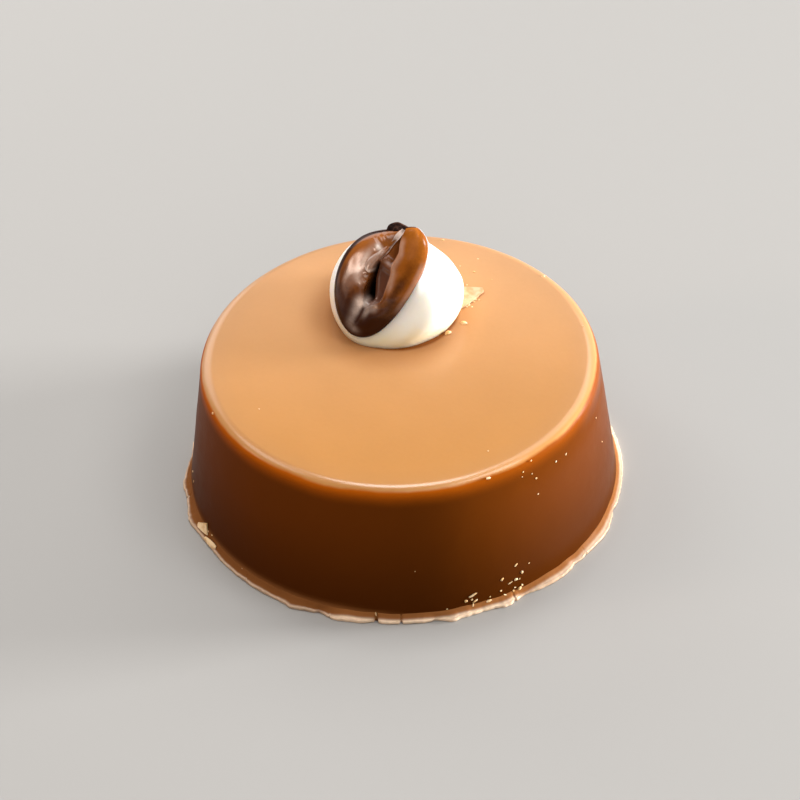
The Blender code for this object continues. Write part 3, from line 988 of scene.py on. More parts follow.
# --- Coffee bean ---
@dataclass
class RoastedBean:
    """The bean pressed into the dot: creased face, rounded back, and the skins left in its crease.

    On its face x runs across the bean and y along it, from its lower to its upper end.
    """

    centre: tuple = (-1.3, 3.85, 16.85)
    lean: float = 52.5
    heading: float = 28.0
    face_turn: float = 57.0
    length: float = 9.9
    width: float = 6.1
    face_height: float = 1.25
    back_depth: float = 2.7
    bow: float = 0.7
    bow_rest: float = 0.35
    shoulder: float = 0.5
    shoulder_reach: float = 0.36
    face_flatness: float = 2.6
    face_edge: float = 0.6
    face_ends: float = 0.7
    rows: int = 320
    face_columns: int = 200
    back_columns: int = 68
    # How the face's columns crowd towards its middle and lean to one side.
    crowding: float = 1.25
    column_shift: float = 0.08
    # Lips of the crease: along the bean, across it; and how softly each turns over.
    left_lip: tuple = (
        (-4.9, 0.40), (-3.9, 0.42), (-2.5, 0.36), (-1.8, 0.10), (-1.1, -0.26), (-0.35, -0.36),
        (0.25, -0.46), (0.8, -0.52), (1.7, -0.46), (2.3, -0.30), (2.9, -0.28), (3.5, -0.20), (4.5, -0.36),
    )
    right_lip: tuple = (
        (-4.9, 0.54), (-3.9, 0.58), (-2.5, 0.54), (-1.9, 0.80), (-1.4, 1.18), (-0.25, 1.14),
        (0.3, 1.02), (1.1, 0.82), (1.7, 0.54), (2.3, 0.50), (2.9, 0.42), (3.4, 0.16), (4.5, -0.18),
    )
    left_edge: tuple = (-0.04, 0.08)
    right_edge: tuple = (-0.04, 0.12)
    # Depth of the crease's floor; share of its width that the dark slot takes; depth of the bank.
    floor_depth: tuple = (
        (-4.8, 0.0), (-3.8, 0.0), (-2.5, 0.02), (-1.9, 0.30), (-1.45, 1.5), (0.5, 1.7),
        (1.2, 1.2), (1.7, 0.75), (2.6, 0.62), (3.4, 0.50), (4.2, 0.30), (4.6, 0.1),
    )
    slot_share: tuple = (
        (-1.6, 0.55), (-0.8, 0.34), (0.0, 0.16), (0.7, 0.10), (1.2, 0.04), (1.6, -0.1), (1.9, -0.3),
    )
    bank_depth: tuple = (
        (-2.6, 0.02), (-2.0, 0.2), (-1.6, 0.42), (-0.5, 0.46), (0.8, 0.40), (1.45, 0.30),
        (1.75, 0.62), (2.6, 0.70), (3.6, 0.55), (4.6, 0.3),
    )
    # The bank's rounding: depth, power and ends; the slot's soft edge and ends.
    bank_round: float = 0.30
    bank_power: float = 2.5
    bank_ends: tuple = ((1.7, 1.2), (-2.0, -1.6))
    slot_edge: tuple = (0.10, -0.02)
    slot_ends: tuple = ((-1.75, -1.45), (1.45, 1.0))
    # The roll that turns over the left lip: along the bean, place across it, half width; its height.
    roll_place: tuple = ((0.2, -0.62), (0.7, -0.82), (1.2, -0.84), (1.75, -0.70), (2.3, -0.50), (2.9, -0.38))
    roll_width: tuple = ((0.2, 0.28), (0.9, 0.40), (1.6, 0.34), (2.4, 0.22), (2.9, 0.12))
    roll_height: float = 0.30
    roll_ends: tuple = ((0.24, 0.40), (2.9, 2.0))
    # Knob, folds below the roll, swelling and flat of the left lobe, pressed patch, dents: middle
    # x and y, reach along each, height.
    folds: tuple = (
        (-1.05, 2.30, 0.36, 0.26, 0.12), (-0.66, -0.10, 0.22, 0.16, 0.12), (-0.52, -0.50, 0.18, 0.13, 0.10),
        (-0.66, -0.90, 0.24, 0.16, 0.08), (-0.70, 0.8, 0.80, 1.7, 0.20), (-2.0, 0.7, 0.70, 1.6, -0.05),
        (0.00, -3.00, 0.55, 1.15, -0.18), (1.10, -1.95, 0.32, 0.36, -0.10), (0.42, -4.3, 0.55, 0.35, -0.12),
    )
    # The raised lips: place off the left and right lip, reach, height; where the crease is open.
    left_ridge: tuple = (-0.15, 0.20, 0.05)
    right_ridge: tuple = (0.20, 0.22, 0.10)
    open_middle: float = 0.9
    open_reach: tuple = (3.4, 2.4)
    # The slash: its middle and slant; its width and reach as a groove and as a painted line.
    slash_middle: tuple = (0.46, -3.1)
    slash_slant: float = 0.07
    slash_groove: tuple = (0.16, (0.9, 0.5))
    slash_line: tuple = (0.15, (0.95, 0.55))
    slash_depth: float = 0.09
    # The ridge beside the slash: x, half width, middle along y, height.
    slash_ridge: tuple = (0.68, 0.14, -2.7, 0.10)
    # Height of the facets and the wrinkles; where the facets start; the wrinkles' patch.
    fine_height: float = 0.030
    facet_start: tuple = (0.1, 0.7)
    wrinkle_patch: tuple = ((-1.25, 3.0, 0.8, 0.5, 1.0),)
    skin_wobble: float = 0.015
    # Roast of the two lobes along the bean, and a darker streak on the right one.
    right_roast: tuple = ((-4.9, 1.2), (-3.6, 1.10), (-2.0, 0.74), (0.0, 0.40), (2.0, 0.34), (4.5, 0.30))
    left_roast: tuple = ((-4.9, 1.2), (-3.0, 0.88), (-1.0, 0.60), (1.0, 0.52), (3.0, 0.52), (4.5, 0.8))
    roast_streak: tuple = ((1.85, 0.4, 0.30, 1.1, 0.28),)
    # Grey and tan film where the crease closes, with painted sheen, and painted highlights on the knob, down
    # the left lobe, on the small folds, at the upper end of the bank and on a facet: middle x and y, reach
    # along each, strength; and the curve's power.
    patches: tuple = (
        (0.02, -2.15, 0.46, 0.50, 1.00), (0.02, -2.95, 0.40, 0.55, 0.42), (0.05, -3.9, 0.36, 0.50, 0.22),
        (1.08, -1.90, 0.32, 0.38, 0.35), (1.22, -1.72, 0.12, 0.12, 0.45), (0.80, -2.5, 0.20, 0.50, 0.35),
        (0.60, -4.3, 0.45, 0.30, 0.20), (0.15, 1.60, 0.34, 0.12, 0.22), (-1.05, 2.30, 0.34, 0.22, 1.00),
        (-1.50, 0.8, 0.34, 1.2, 0.45), (-1.25, -0.40, 0.36, 0.45, 0.30), (-0.95, -0.78, 0.36, 0.26, 0.30),
        (-0.66, -0.10, 0.16, 0.12, 0.4), (-0.55, -0.55, 0.12, 0.10, 0.4),
    )
    patch_power: float = 1.2
    # The silverskin ribbon: y of its start and length, turn at its ends in degrees, thickness;
    # then along its length: x, height, half width.
    ribbon_start: float = 4.45
    ribbon_length: float = 3.2
    ribbon_twist: tuple = (-15.0, 30.0)
    ribbon_thickness: float = 0.05
    ribbon_paths: tuple = (
        ((0.0, -0.24), (0.15, -0.28), (0.4, -0.30), (0.7, -0.34), (1.0, -0.62)),
        ((0.0, 0.62), (0.15, 0.86), (0.35, 1.02), (0.7, 1.16), (1.0, 1.22)),
        ((0.0, 0.12), (0.15, 0.21), (0.35, 0.15), (0.7, 0.09), (1.0, 0.03)),
    )
    # The charred curl: x, y and height along its foot, and along its free edge.
    curl_foot: tuple = (
        ((0.0, -1.45), (0.35, -0.95), (0.7, -0.45), (1.0, 0.05)),
        ((0.0, 3.40), (0.35, 3.80), (0.7, 4.05), (1.0, 4.30)),
        ((0.0, 0.20), (0.35, 0.50), (0.7, 0.58), (1.0, 0.50)),
    )
    curl_free: tuple = (
        ((0.0, -1.45), (0.16, -1.50), (0.32, -1.20), (0.62, -0.62), (0.84, 0.00), (1.0, 0.42)),
        ((0.0, 3.45), (0.16, 3.92), (0.32, 4.34), (0.62, 4.56), (0.84, 4.64), (1.0, 4.60)),
        ((0.0, 0.15), (0.16, 0.05), (0.32, 0.00), (0.62, 0.00), (0.84, 0.05), (1.0, 0.15)),
    )
    curl_thickness: float = 0.08
    curl_bulge: float = 0.08
    skin_crisp: float = 60.0

    def axes(self) -> np.ndarray:
        """Return the bean's unit directions as rows: across, along, and out of its creased face."""
        lean, heading, turn = (math.radians(a) for a in (self.lean, self.heading, self.face_turn))
        level = np.array([math.cos(heading), math.sin(heading), 0.0])
        up = np.array([0.0, 0.0, 1.0])
        along = math.cos(lean) * level + math.sin(lean) * up
        over = math.cos(lean) * up - math.sin(lean) * level
        side = np.array([math.sin(heading), -math.cos(heading), 0.0])
        outward = math.cos(turn) * side + math.sin(turn) * over
        return np.stack([np.cross(along, outward), along, outward])

    def place(self, local: np.ndarray) -> np.ndarray:
        """Carry points from (across, along, outward) into the praline's frame."""
        return local @ self.axes() + np.array(self.centre)

    def local(self, points: np.ndarray) -> np.ndarray:
        """Carry points from the praline's frame into (across, along, outward)."""
        return (points - np.array(self.centre)) @ self.axes().T

    def middle(self, share: np.ndarray) -> np.ndarray:
        """Return how far the long axis is bent sideways, at a share of the half length."""
        return self.bow * (share**2 - self.bow_rest)

    def kept_width(self, share: np.ndarray) -> np.ndarray:
        """Return the share of the left half width that is left where the upper end is drawn in."""
        return 1.0 - self.shoulder * bump(1.0 - share, self.shoulder_reach)

    def outline_share(self, local: np.ndarray) -> np.ndarray:
        """Return 0 on the bean's long axis and 1 at its outline, seen along its outward direction.

        Args:
            local: Points in the bean's own directions.

        Returns:
            The share at each point.
        """
        share = local[..., 1] / (self.length / 2.0)
        across = (local[..., 0] - self.middle(np.clip(share, -1.0, 1.0))) / (self.width / 2.0)
        across = np.where(across < 0.0, across / self.kept_width(share), across)
        return np.sqrt(share**2 + across**2)

    def from_lips(self, x: np.ndarray, y: np.ndarray) -> tuple[np.ndarray, np.ndarray]:
        """Return how far x lies to the right of the left lip, and of the right lip."""
        return x - through(y, self.left_lip), x - through(y, self.right_lip)

    def across_roll(self, x: np.ndarray, y: np.ndarray) -> np.ndarray:
        """Return the place across the roll: 0 on its middle, -1 and 1 at its sides."""
        return (x - through(y, self.roll_place)) / through(y, self.roll_width)

    def slash(self, x: np.ndarray, y: np.ndarray, width: float, reach: tuple) -> np.ndarray:
        """Return 1 on the slanting slash where the crease closes, and 0 away from it."""
        along = y - self.slash_middle[1]
        return bump(x - self.slash_middle[0] + self.slash_slant * along, width) * ramp(np.abs(along), *reach)

    def crease(self, x: np.ndarray, y: np.ndarray) -> tuple[np.ndarray, np.ndarray, np.ndarray]:
        """Return the crease's depth, 1 inside it and 0 outside, and 1 in its dark slot.

        The slot runs along the left lip. The rest of the crease is the right lobe's inner bank: it
        drops a little at the right lip, then rounds over and down into the slot.

        Args:
            x: Place across the creased face.
            y: Place along it.

        Returns:
            The three fields.
        """
        left, right = self.from_lips(x, y)
        inside = ramp(left, *self.left_edge) * ramp(-right, *self.right_edge)
        share = left / (left - right)
        start = through(y, self.slot_share)
        over = ((share - start) / (1.0 - start)).clip(0.0, 1.0)
        rounding = self.bank_round * (1.0 - over) ** self.bank_power * between(y, *self.bank_ends)
        bank = through(y, self.bank_depth) + rounding
        slot = ramp(share, start + self.slot_edge[0], start + self.slot_edge[1])
        depth = bank + (through(y, self.floor_depth) - bank).clip(0.0) * slot
        return inside * depth, inside, inside * slot * between(y, *self.slot_ends)

    def details(self, x: np.ndarray, y: np.ndarray) -> np.ndarray:
        """Return the small relief of the creased face.

        Raised lips; the roll over the left lip, which ends in a step; small folds below it; a knob
        and a flat on the left lobe; facets of the right lobe; the pressed patch and the slash where
        the crease closes; and wrinkles at the upper left.

        Args:
            x: Place across the creased face.
            y: Place along it.

        Returns:
            Heights in millimetres.
        """
        left, right = self.from_lips(x, y)
        relief = 0.0
        for off, (place, reach, height) in ((left, self.left_ridge), (right, self.right_ridge)):
            relief = relief + height * bump(off - place, reach)
        relief = relief * ramp(np.abs(y - self.open_middle), *self.open_reach)
        roll = np.sqrt((1.0 - self.across_roll(x, y) ** 2).clip(0.0))
        relief = relief + self.roll_height * roll * between(y, *self.roll_ends)
        relief = hills(relief, x, y, self.folds)
        at, width, middle, height = self.slash_ridge
        relief = relief - self.slash_depth * self.slash(x, y, *self.slash_groove)
        relief = relief + height * bump(x - at, width) * ramp(np.abs(y - middle), *self.slash_groove[1])
        facets = np.sin(2.1 * y + 1.5 * x) + 0.6 * np.sin(3.7 * y - 2.2 * x + 1.0)
        wrinkles = np.sin(11.0 * (0.35 * x + y)) * hills(0.0, x, y, self.wrinkle_patch)
        return relief + self.fine_height * (facets * ramp(right, *self.facet_start) + wrinkles)

    def face(self, u: np.ndarray, share: np.ndarray, x: np.ndarray, y: np.ndarray) -> np.ndarray:
        """Return the height of the creased face: a flat-topped dome, less the crease, plus details.

        Args:
            u: Share of the half width, from -1 at the left to 1 at the right.
            share: Share of the half length.
            x: Place across the creased face.
            y: Place along it.

        Returns:
            Heights in millimetres.
        """
        taper = np.sqrt(1.0 - share**2)
        section = (1.0 - np.abs(u) ** self.face_flatness).clip(0.0) ** self.face_edge
        dome = self.face_height * taper**self.face_ends * section
        uneven = self.skin_wobble * wobble(np.stack([x, y, 0.0 * x], axis=-1), 1.8, 11)
        return dome - self.crease(x, y)[0] + taper * (self.details(x, y) + uneven)

    def roast(self, u: np.ndarray, x: np.ndarray, y: np.ndarray) -> np.ndarray:
        """Return how dark the skin is.

        The lobes darken towards the lower end. The left rim is dark and its very edge pale, the right lobe
        darkens to the right, and the open crease is paler at its upper end, painted light in its shadow.

        Args:
            u: Share of the half width, from -1 at the left to 1 at the right.
            x: Place across the creased face.
            y: Place along it.

        Returns:
            0 for the light roast and 1 for the dark one.
        """
        left, right = self.from_lips(x, y)
        left_side = ramp(left, 0.5, -0.1)
        right_roast, left_roast = through(y, self.right_roast), through(y, self.left_roast)
        roast = right_roast + (left_roast - right_roast) * left_side
        roast = roast - 0.25 * ramp(u, -0.40, -0.75) * ramp(y, -1.5, 1.5) + 1.3 * ramp(u, -0.84, -0.97)
        roast = hills(roast, x, y, self.roast_streak)
        # Painted light: the upper end of the open crease, which lies in shadow, is made paler.
        roast = roast - 0.30 * ramp(left, -0.1, 0.1) * ramp(-right, -0.1, 0.1) * ramp(y, 1.0, 2.0)
        return roast + 0.20 * ramp(u, 0.45, 0.85) * (1.0 - left_side)

    def film(self, u: np.ndarray, x: np.ndarray, y: np.ndarray) -> np.ndarray:
        """Return how much pale film colour shows: painted reflections beside the right lip and at the right
        edge, a painted highlight on the roll and its lower rim, and patches of film and painted highlights.

        Args:
            u: Share of the half width, from -1 at the left to 1 at the right.
            x: Place across the creased face.
            y: Place along it.

        Returns:
            The film's strength.
        """
        left, right = self.from_lips(x, y)
        # A painted reflection in a strip beside the right lip.
        film = 0.20 * bump(right - 0.22, 0.22) * between(y, (-0.6, 0.4), (4.2, 3.6))
        # A painted tan reflection along the right edge.
        right_edge = ramp(u, 0.86, 0.95) * ramp(np.abs(y - 0.8), 2.6, 1.6)
        film = film + 0.10 * right_edge * (1.0 - ramp(left, 0.5, -0.1))
        # A painted highlight over the roll, brightest along its lower rim.
        across = self.across_roll(x, y)
        roll = ramp(np.abs(across), 1.0, 0.8) * between(y, (0.25, 0.40), (2.6, 1.9))
        film = film + roll * (0.22 + 0.55 * bump(y - 0.44 - 0.25 * across**2, 0.13))
        return hills(film, x, y, self.patches, self.patch_power)

    def paint(self, u: np.ndarray, x: np.ndarray, y: np.ndarray) -> dict[str, np.ndarray]:
        """Return the painted layers.

        `roast` is how dark the skin is, `inner` the maroon crease, thinned at its upper end as painted light,
        `film` the grey patch with painted sheen, painted highlights and the tan painted reflections at the
        edges, `deep` the slot that no light reaches.

        Args:
            u: Share of the half width, from -1 at the left to 1 at the right.
            x: Place across the creased face.
            y: Place along it.

        Returns:
            The values by layer.
        """
        _, inner, deep = self.crease(x, y)
        # The maroon thins towards the crease's upper end as painted light in its shadow.
        inner = inner * ramp(through(y, self.floor_depth), 0.2, 0.5) * (1.0 - 0.75 * ramp(y, 1.0, 2.0))
        slash = self.slash(x, y, *self.slash_line)
        film = np.clip(self.film(u, x, y) * (1.0 - 0.85 * slash), 0.0, 1.0)
        return {"roast": self.roast(u, x, y) + 0.5 * slash, "inner": inner, "film": film, "deep": deep}

    def form(self) -> tuple[np.ndarray, dict[str, np.ndarray]]:
        """Return the bean's rings of points in its own directions, and its painted layers."""
        share = -np.cos(np.linspace(0.0, math.pi, self.rows + 2)[1:-1])[:, None]
        taper = np.sqrt(1.0 - share**2)
        spread = np.linspace(1.0, -1.0, self.face_columns)[None, :]
        front_u = np.sign(spread) * np.abs(spread) ** self.crowding + self.column_shift * (1.0 - spread**2)
        under = np.linspace(math.pi, 2.0 * math.pi, self.back_columns + 2)[1:-1][None, :]
        u = np.concatenate([front_u, np.cos(under)], axis=1) + 0.0 * share
        x = np.where(u < 0.0, u * self.kept_width(share), u) * (self.width / 2.0) * taper + self.middle(share)
        y = self.length / 2.0 * share + 0.0 * x
        front = slice(0, self.face_columns)
        face = self.face(u[:, front], share, x[:, front], y[:, front])
        back = self.back_depth * taper * np.sin(under)
        paint = self.paint(u, x, y)
        for name in ("inner", "film", "deep"):
            paint[name][:, self.face_columns :] = 0.0
        return np.stack([x, y, np.concatenate([face, back], axis=1)], axis=-1), paint

    def build(self, material: Material) -> Object:
        """Make the bean where it stands in the dot.

        Args:
            material: Its finish.

        Returns:
            The bean.
        """
        local, paint = self.form()
        layers = {
            name: np.append(values.ravel(), [values[0].mean(), values[-1].mean()])
            for name, values in paint.items()
        }
        made = Mesher.piece("coffee_bean", *Mesher.tube(self.place(local)), material, Slot.COFFEE, layers)
        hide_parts("bean")
        return made

    def skin(
        self, name: str, local: np.ndarray, thickness: float, edge: np.ndarray, material: Material
    ) -> Object:
        """Make a thin skin on the bean.

        Args:
            name: Name of the piece.
            local: Its middle surface in the bean's own directions.
            thickness: Its thickness.
            edge: How pale it is at each point of the surface.
            material: Its finish.

        Returns:
            The skin.
        """
        points, faces = Mesher.sheet(self.place(local), thickness)
        layers = {"edge": np.tile(edge.ravel(), 2)}
        return Mesher.piece(name, points, faces, material, Slot.COFFEE, layers, self.skin_crisp)

    def ribbon(self, material: Material) -> Object:
        """Make the ribbon of silverskin that lies along the crease's left lip.

        The ribbon follows a smooth line and turns over as it goes; its width shrinks to nothing.

        Args:
            material: Its finish.

        Returns:
            The ribbon.
        """
        t = np.linspace(0.0, 1.0, 60)[:, None]
        v = np.linspace(-1.0, 1.0, 9)[None, :]
        x, z, half = (through(t, path) for path in self.ribbon_paths)
        y = self.ribbon_start - self.ribbon_length * t + 0.0 * v
        twist = np.radians(self.ribbon_twist[0] + self.ribbon_twist[1] * t)
        local = np.stack([x + v * half * np.cos(twist), y, z + v * half * np.sin(twist)], axis=-1)
        # Pale edges, and a painted highlight across the ribbon near its upper end.
        edge = (ramp(np.abs(v), 0.6, 1.0) * 0.6 + bump(t - 0.15, 0.10)).clip(0.0, 1.0)
        return self.skin("silverskin_ribbon", local, self.ribbon_thickness, edge, material)

    def curl(self, material: Material) -> Object:
        """Make the charred skin that curls off the upper end of the bean.

        Its foot follows the end of the left lobe, and its free edge stands a little past the end.

        Args:
            material: Its finish.

        Returns:
            The curl.
        """
        t = np.linspace(0.0, 1.0, 48)[:, None]
        v = np.linspace(0.0, 1.0, 16)[None, :]
        foot, free = ([through(t, path) for path in paths] for paths in (self.curl_foot, self.curl_free))
        local = np.stack([a + (b - a) * v for a, b in zip(foot, free)], axis=-1)
        local[..., 2] += self.curl_bulge * np.sin(np.pi * v) * np.sin(np.pi * t)
        edge = ramp(v, 0.82, 1.0) * between(t, (0.15, 0.4), (0.95, 0.75))
        return self.skin("skin_curl", local, self.curl_thickness, edge, material)


# --- White chocolate dot ---
@dataclass
class PipedDot:
    """The dot of white chocolate that the bean stands in."""

    bean: RoastedBean
    centre: tuple = (0.0, 5.65, 13.9)
    radius: float = 5.15
    half_height: float = 4.3
    floor: float = 12.0
    sunk: float = 0.02
    last_tilt: float = 89.7
    rows: int = 210
    columns: int = 420
    uneven: float = 0.03
    # Swellings and dents: direction from the centre, reach in degrees, change of radius.
    lumps: tuple = (
        ((-0.60, -0.75, -0.35), 30.0, 0.35),
        ((0.45, -0.80, -0.45), 28.0, -0.30),
        ((0.64, 0.51, 0.57), 16.0, -1.00),
        ((0.89, 0.30, 0.34), 12.0, -0.32),
        ((0.34, 0.62, 0.71), 10.0, 0.05),
        ((-0.60, 0.50, 0.55), 26.0, 0.20),
    )
    # The pressed-in bean: height of the meeting line over the bean's widest line, slope inside the
    # bean and fall outside it for each share of its size, softness of the bend at the outline and
    # what it gains outside, and the heights below which nothing is pressed.
    meet: float = 0.06
    press_slope: float = 3.2
    press_fall: float = 0.10
    bend: tuple = (0.10, 0.40)
    bend_gain: tuple = (1.0, 1.25)
    press_heights: tuple = (-1.5, -0.6)
    # The film up the bean's back: shares of its half length, half spread in degrees, thickness.
    film_shares: tuple = (0.45, 0.985)
    film_spread: float = 46.0
    film_thickness: float = 0.06
    # Its round end starts at a share of the half length and takes a share to close.
    film_end: tuple = (0.85, 0.125)
    # Half width in degrees and what it loses below; turn of its middle and what it adds below.
    film_half: tuple = (40.0, 20.0)
    film_turn: tuple = (-62.0, -70.0)
    # Its lift off the back: in its middle, at its edge, and past its edge.
    film_lift: tuple = (0.36, -0.10, -0.40)
    film_edge: tuple = (1.0, 0.4)
    film_past: tuple = (0.95, 1.35)

    def free_form(self) -> np.ndarray:
        """Return the dot's rings before the bean is pressed in: an ellipsoid with soft lumps."""
        lowest = math.asin((self.floor - self.centre[2]) / self.half_height)
        tilt = np.linspace(lowest, math.radians(self.last_tilt), self.rows)[:, None]
        azimuth = np.linspace(0.0, 2.0 * math.pi, self.columns, endpoint=False)[None, :]
        points = around(self.radius * np.cos(tilt), azimuth, self.half_height * np.sin(tilt))
        direction = points / np.linalg.norm(points, axis=-1, keepdims=True)
        change = self.uneven * wobble(points, 3.0, 41)
        for towards, reach, amount in self.lumps:
            aim = np.array(towards) / np.linalg.norm(towards)
            change = change + amount * bump(np.degrees(np.arccos((direction @ aim).clip(-1.0, 1.0))), reach)
        return points + direction * change[..., None] + np.array(self.centre)

    def press(self, points: np.ndarray) -> np.ndarray:
        """Press the bean into the dot.

        Under the bean's outline the surface drops inside the bean. Outside it the surface stays
        below a flat cone that starts at the bean's widest line and blends softly into the dot.

        Args:
            points: The free dot's points.

        Returns:
            The pressed points.
        """
        local = self.bean.local(points)
        share = self.bean.outline_share(local)
        outside = (share - 1.0) * self.press_slope
        limit = self.meet + np.where(share < 1.0, outside, -self.press_fall * outside)
        height = local[..., 2]
        soft = self.bend[0] + self.bend[1] * ramp(share, *self.bend_gain)
        pressed = height - soft * np.logaddexp(0.0, (height - limit) / soft)
        local[..., 2] = height + (pressed - height) * ramp(height, *self.press_heights)
        return self.bean.place(local)

    def build(self, material: Material) -> Object:
        """Make the dot on the praline's top, sunk in a little.

        Args:
            material: Its finish.

        Returns:
            The dot.
        """
        points = self.press(self.free_form())
        points[..., 2] = np.maximum(points[..., 2], self.floor - self.sunk)
        points[0, :, 2] = self.floor - self.sunk
        made = Mesher.piece("white_dot", *Mesher.tube(points), material, Slot.WHITE)
        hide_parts("dot")
        return made

    def film(self, material: Material) -> Object:
        """Make the thin film of white chocolate that climbs the bean's back.

        A tongue over the rounded back, from inside the dot to a round end: outside its edge both
        sides lie inside the bean.

        Args:
            material: Its finish.

        Returns:
            The film.
        """
        share = np.linspace(*self.film_shares, 84)[:, None]
        spread = np.linspace(-self.film_spread, self.film_spread, 70)[None, :]
        end, closing = self.film_end
        below, above = (end - share).clip(0.0), (share - end).clip(0.0)
        taper = np.sqrt(1.0 - share**2)
        turn = np.radians(spread + self.film_turn[0] + self.film_turn[1] * below)
        away = np.hypot(above / closing, spread / (self.film_half[0] - self.film_half[1] * below))
        middle, edge, past = self.film_lift
        lift = middle * ramp(away, *self.film_edge) + edge + past * ramp(away, *self.film_past)
        bean = self.bean
        side = np.stack([
            (bean.width / 2.0 + lift) * taper * np.cos(turn) + bean.middle(share),
            bean.length / 2.0 * share + 0.0 * turn,
            (bean.back_depth + lift) * taper * np.sin(turn),
        ], axis=-1)
        points, faces = Mesher.sheet(bean.place(side), self.film_thickness)
        return Mesher.piece("dot_film", points, faces, material, Slot.WHITE)


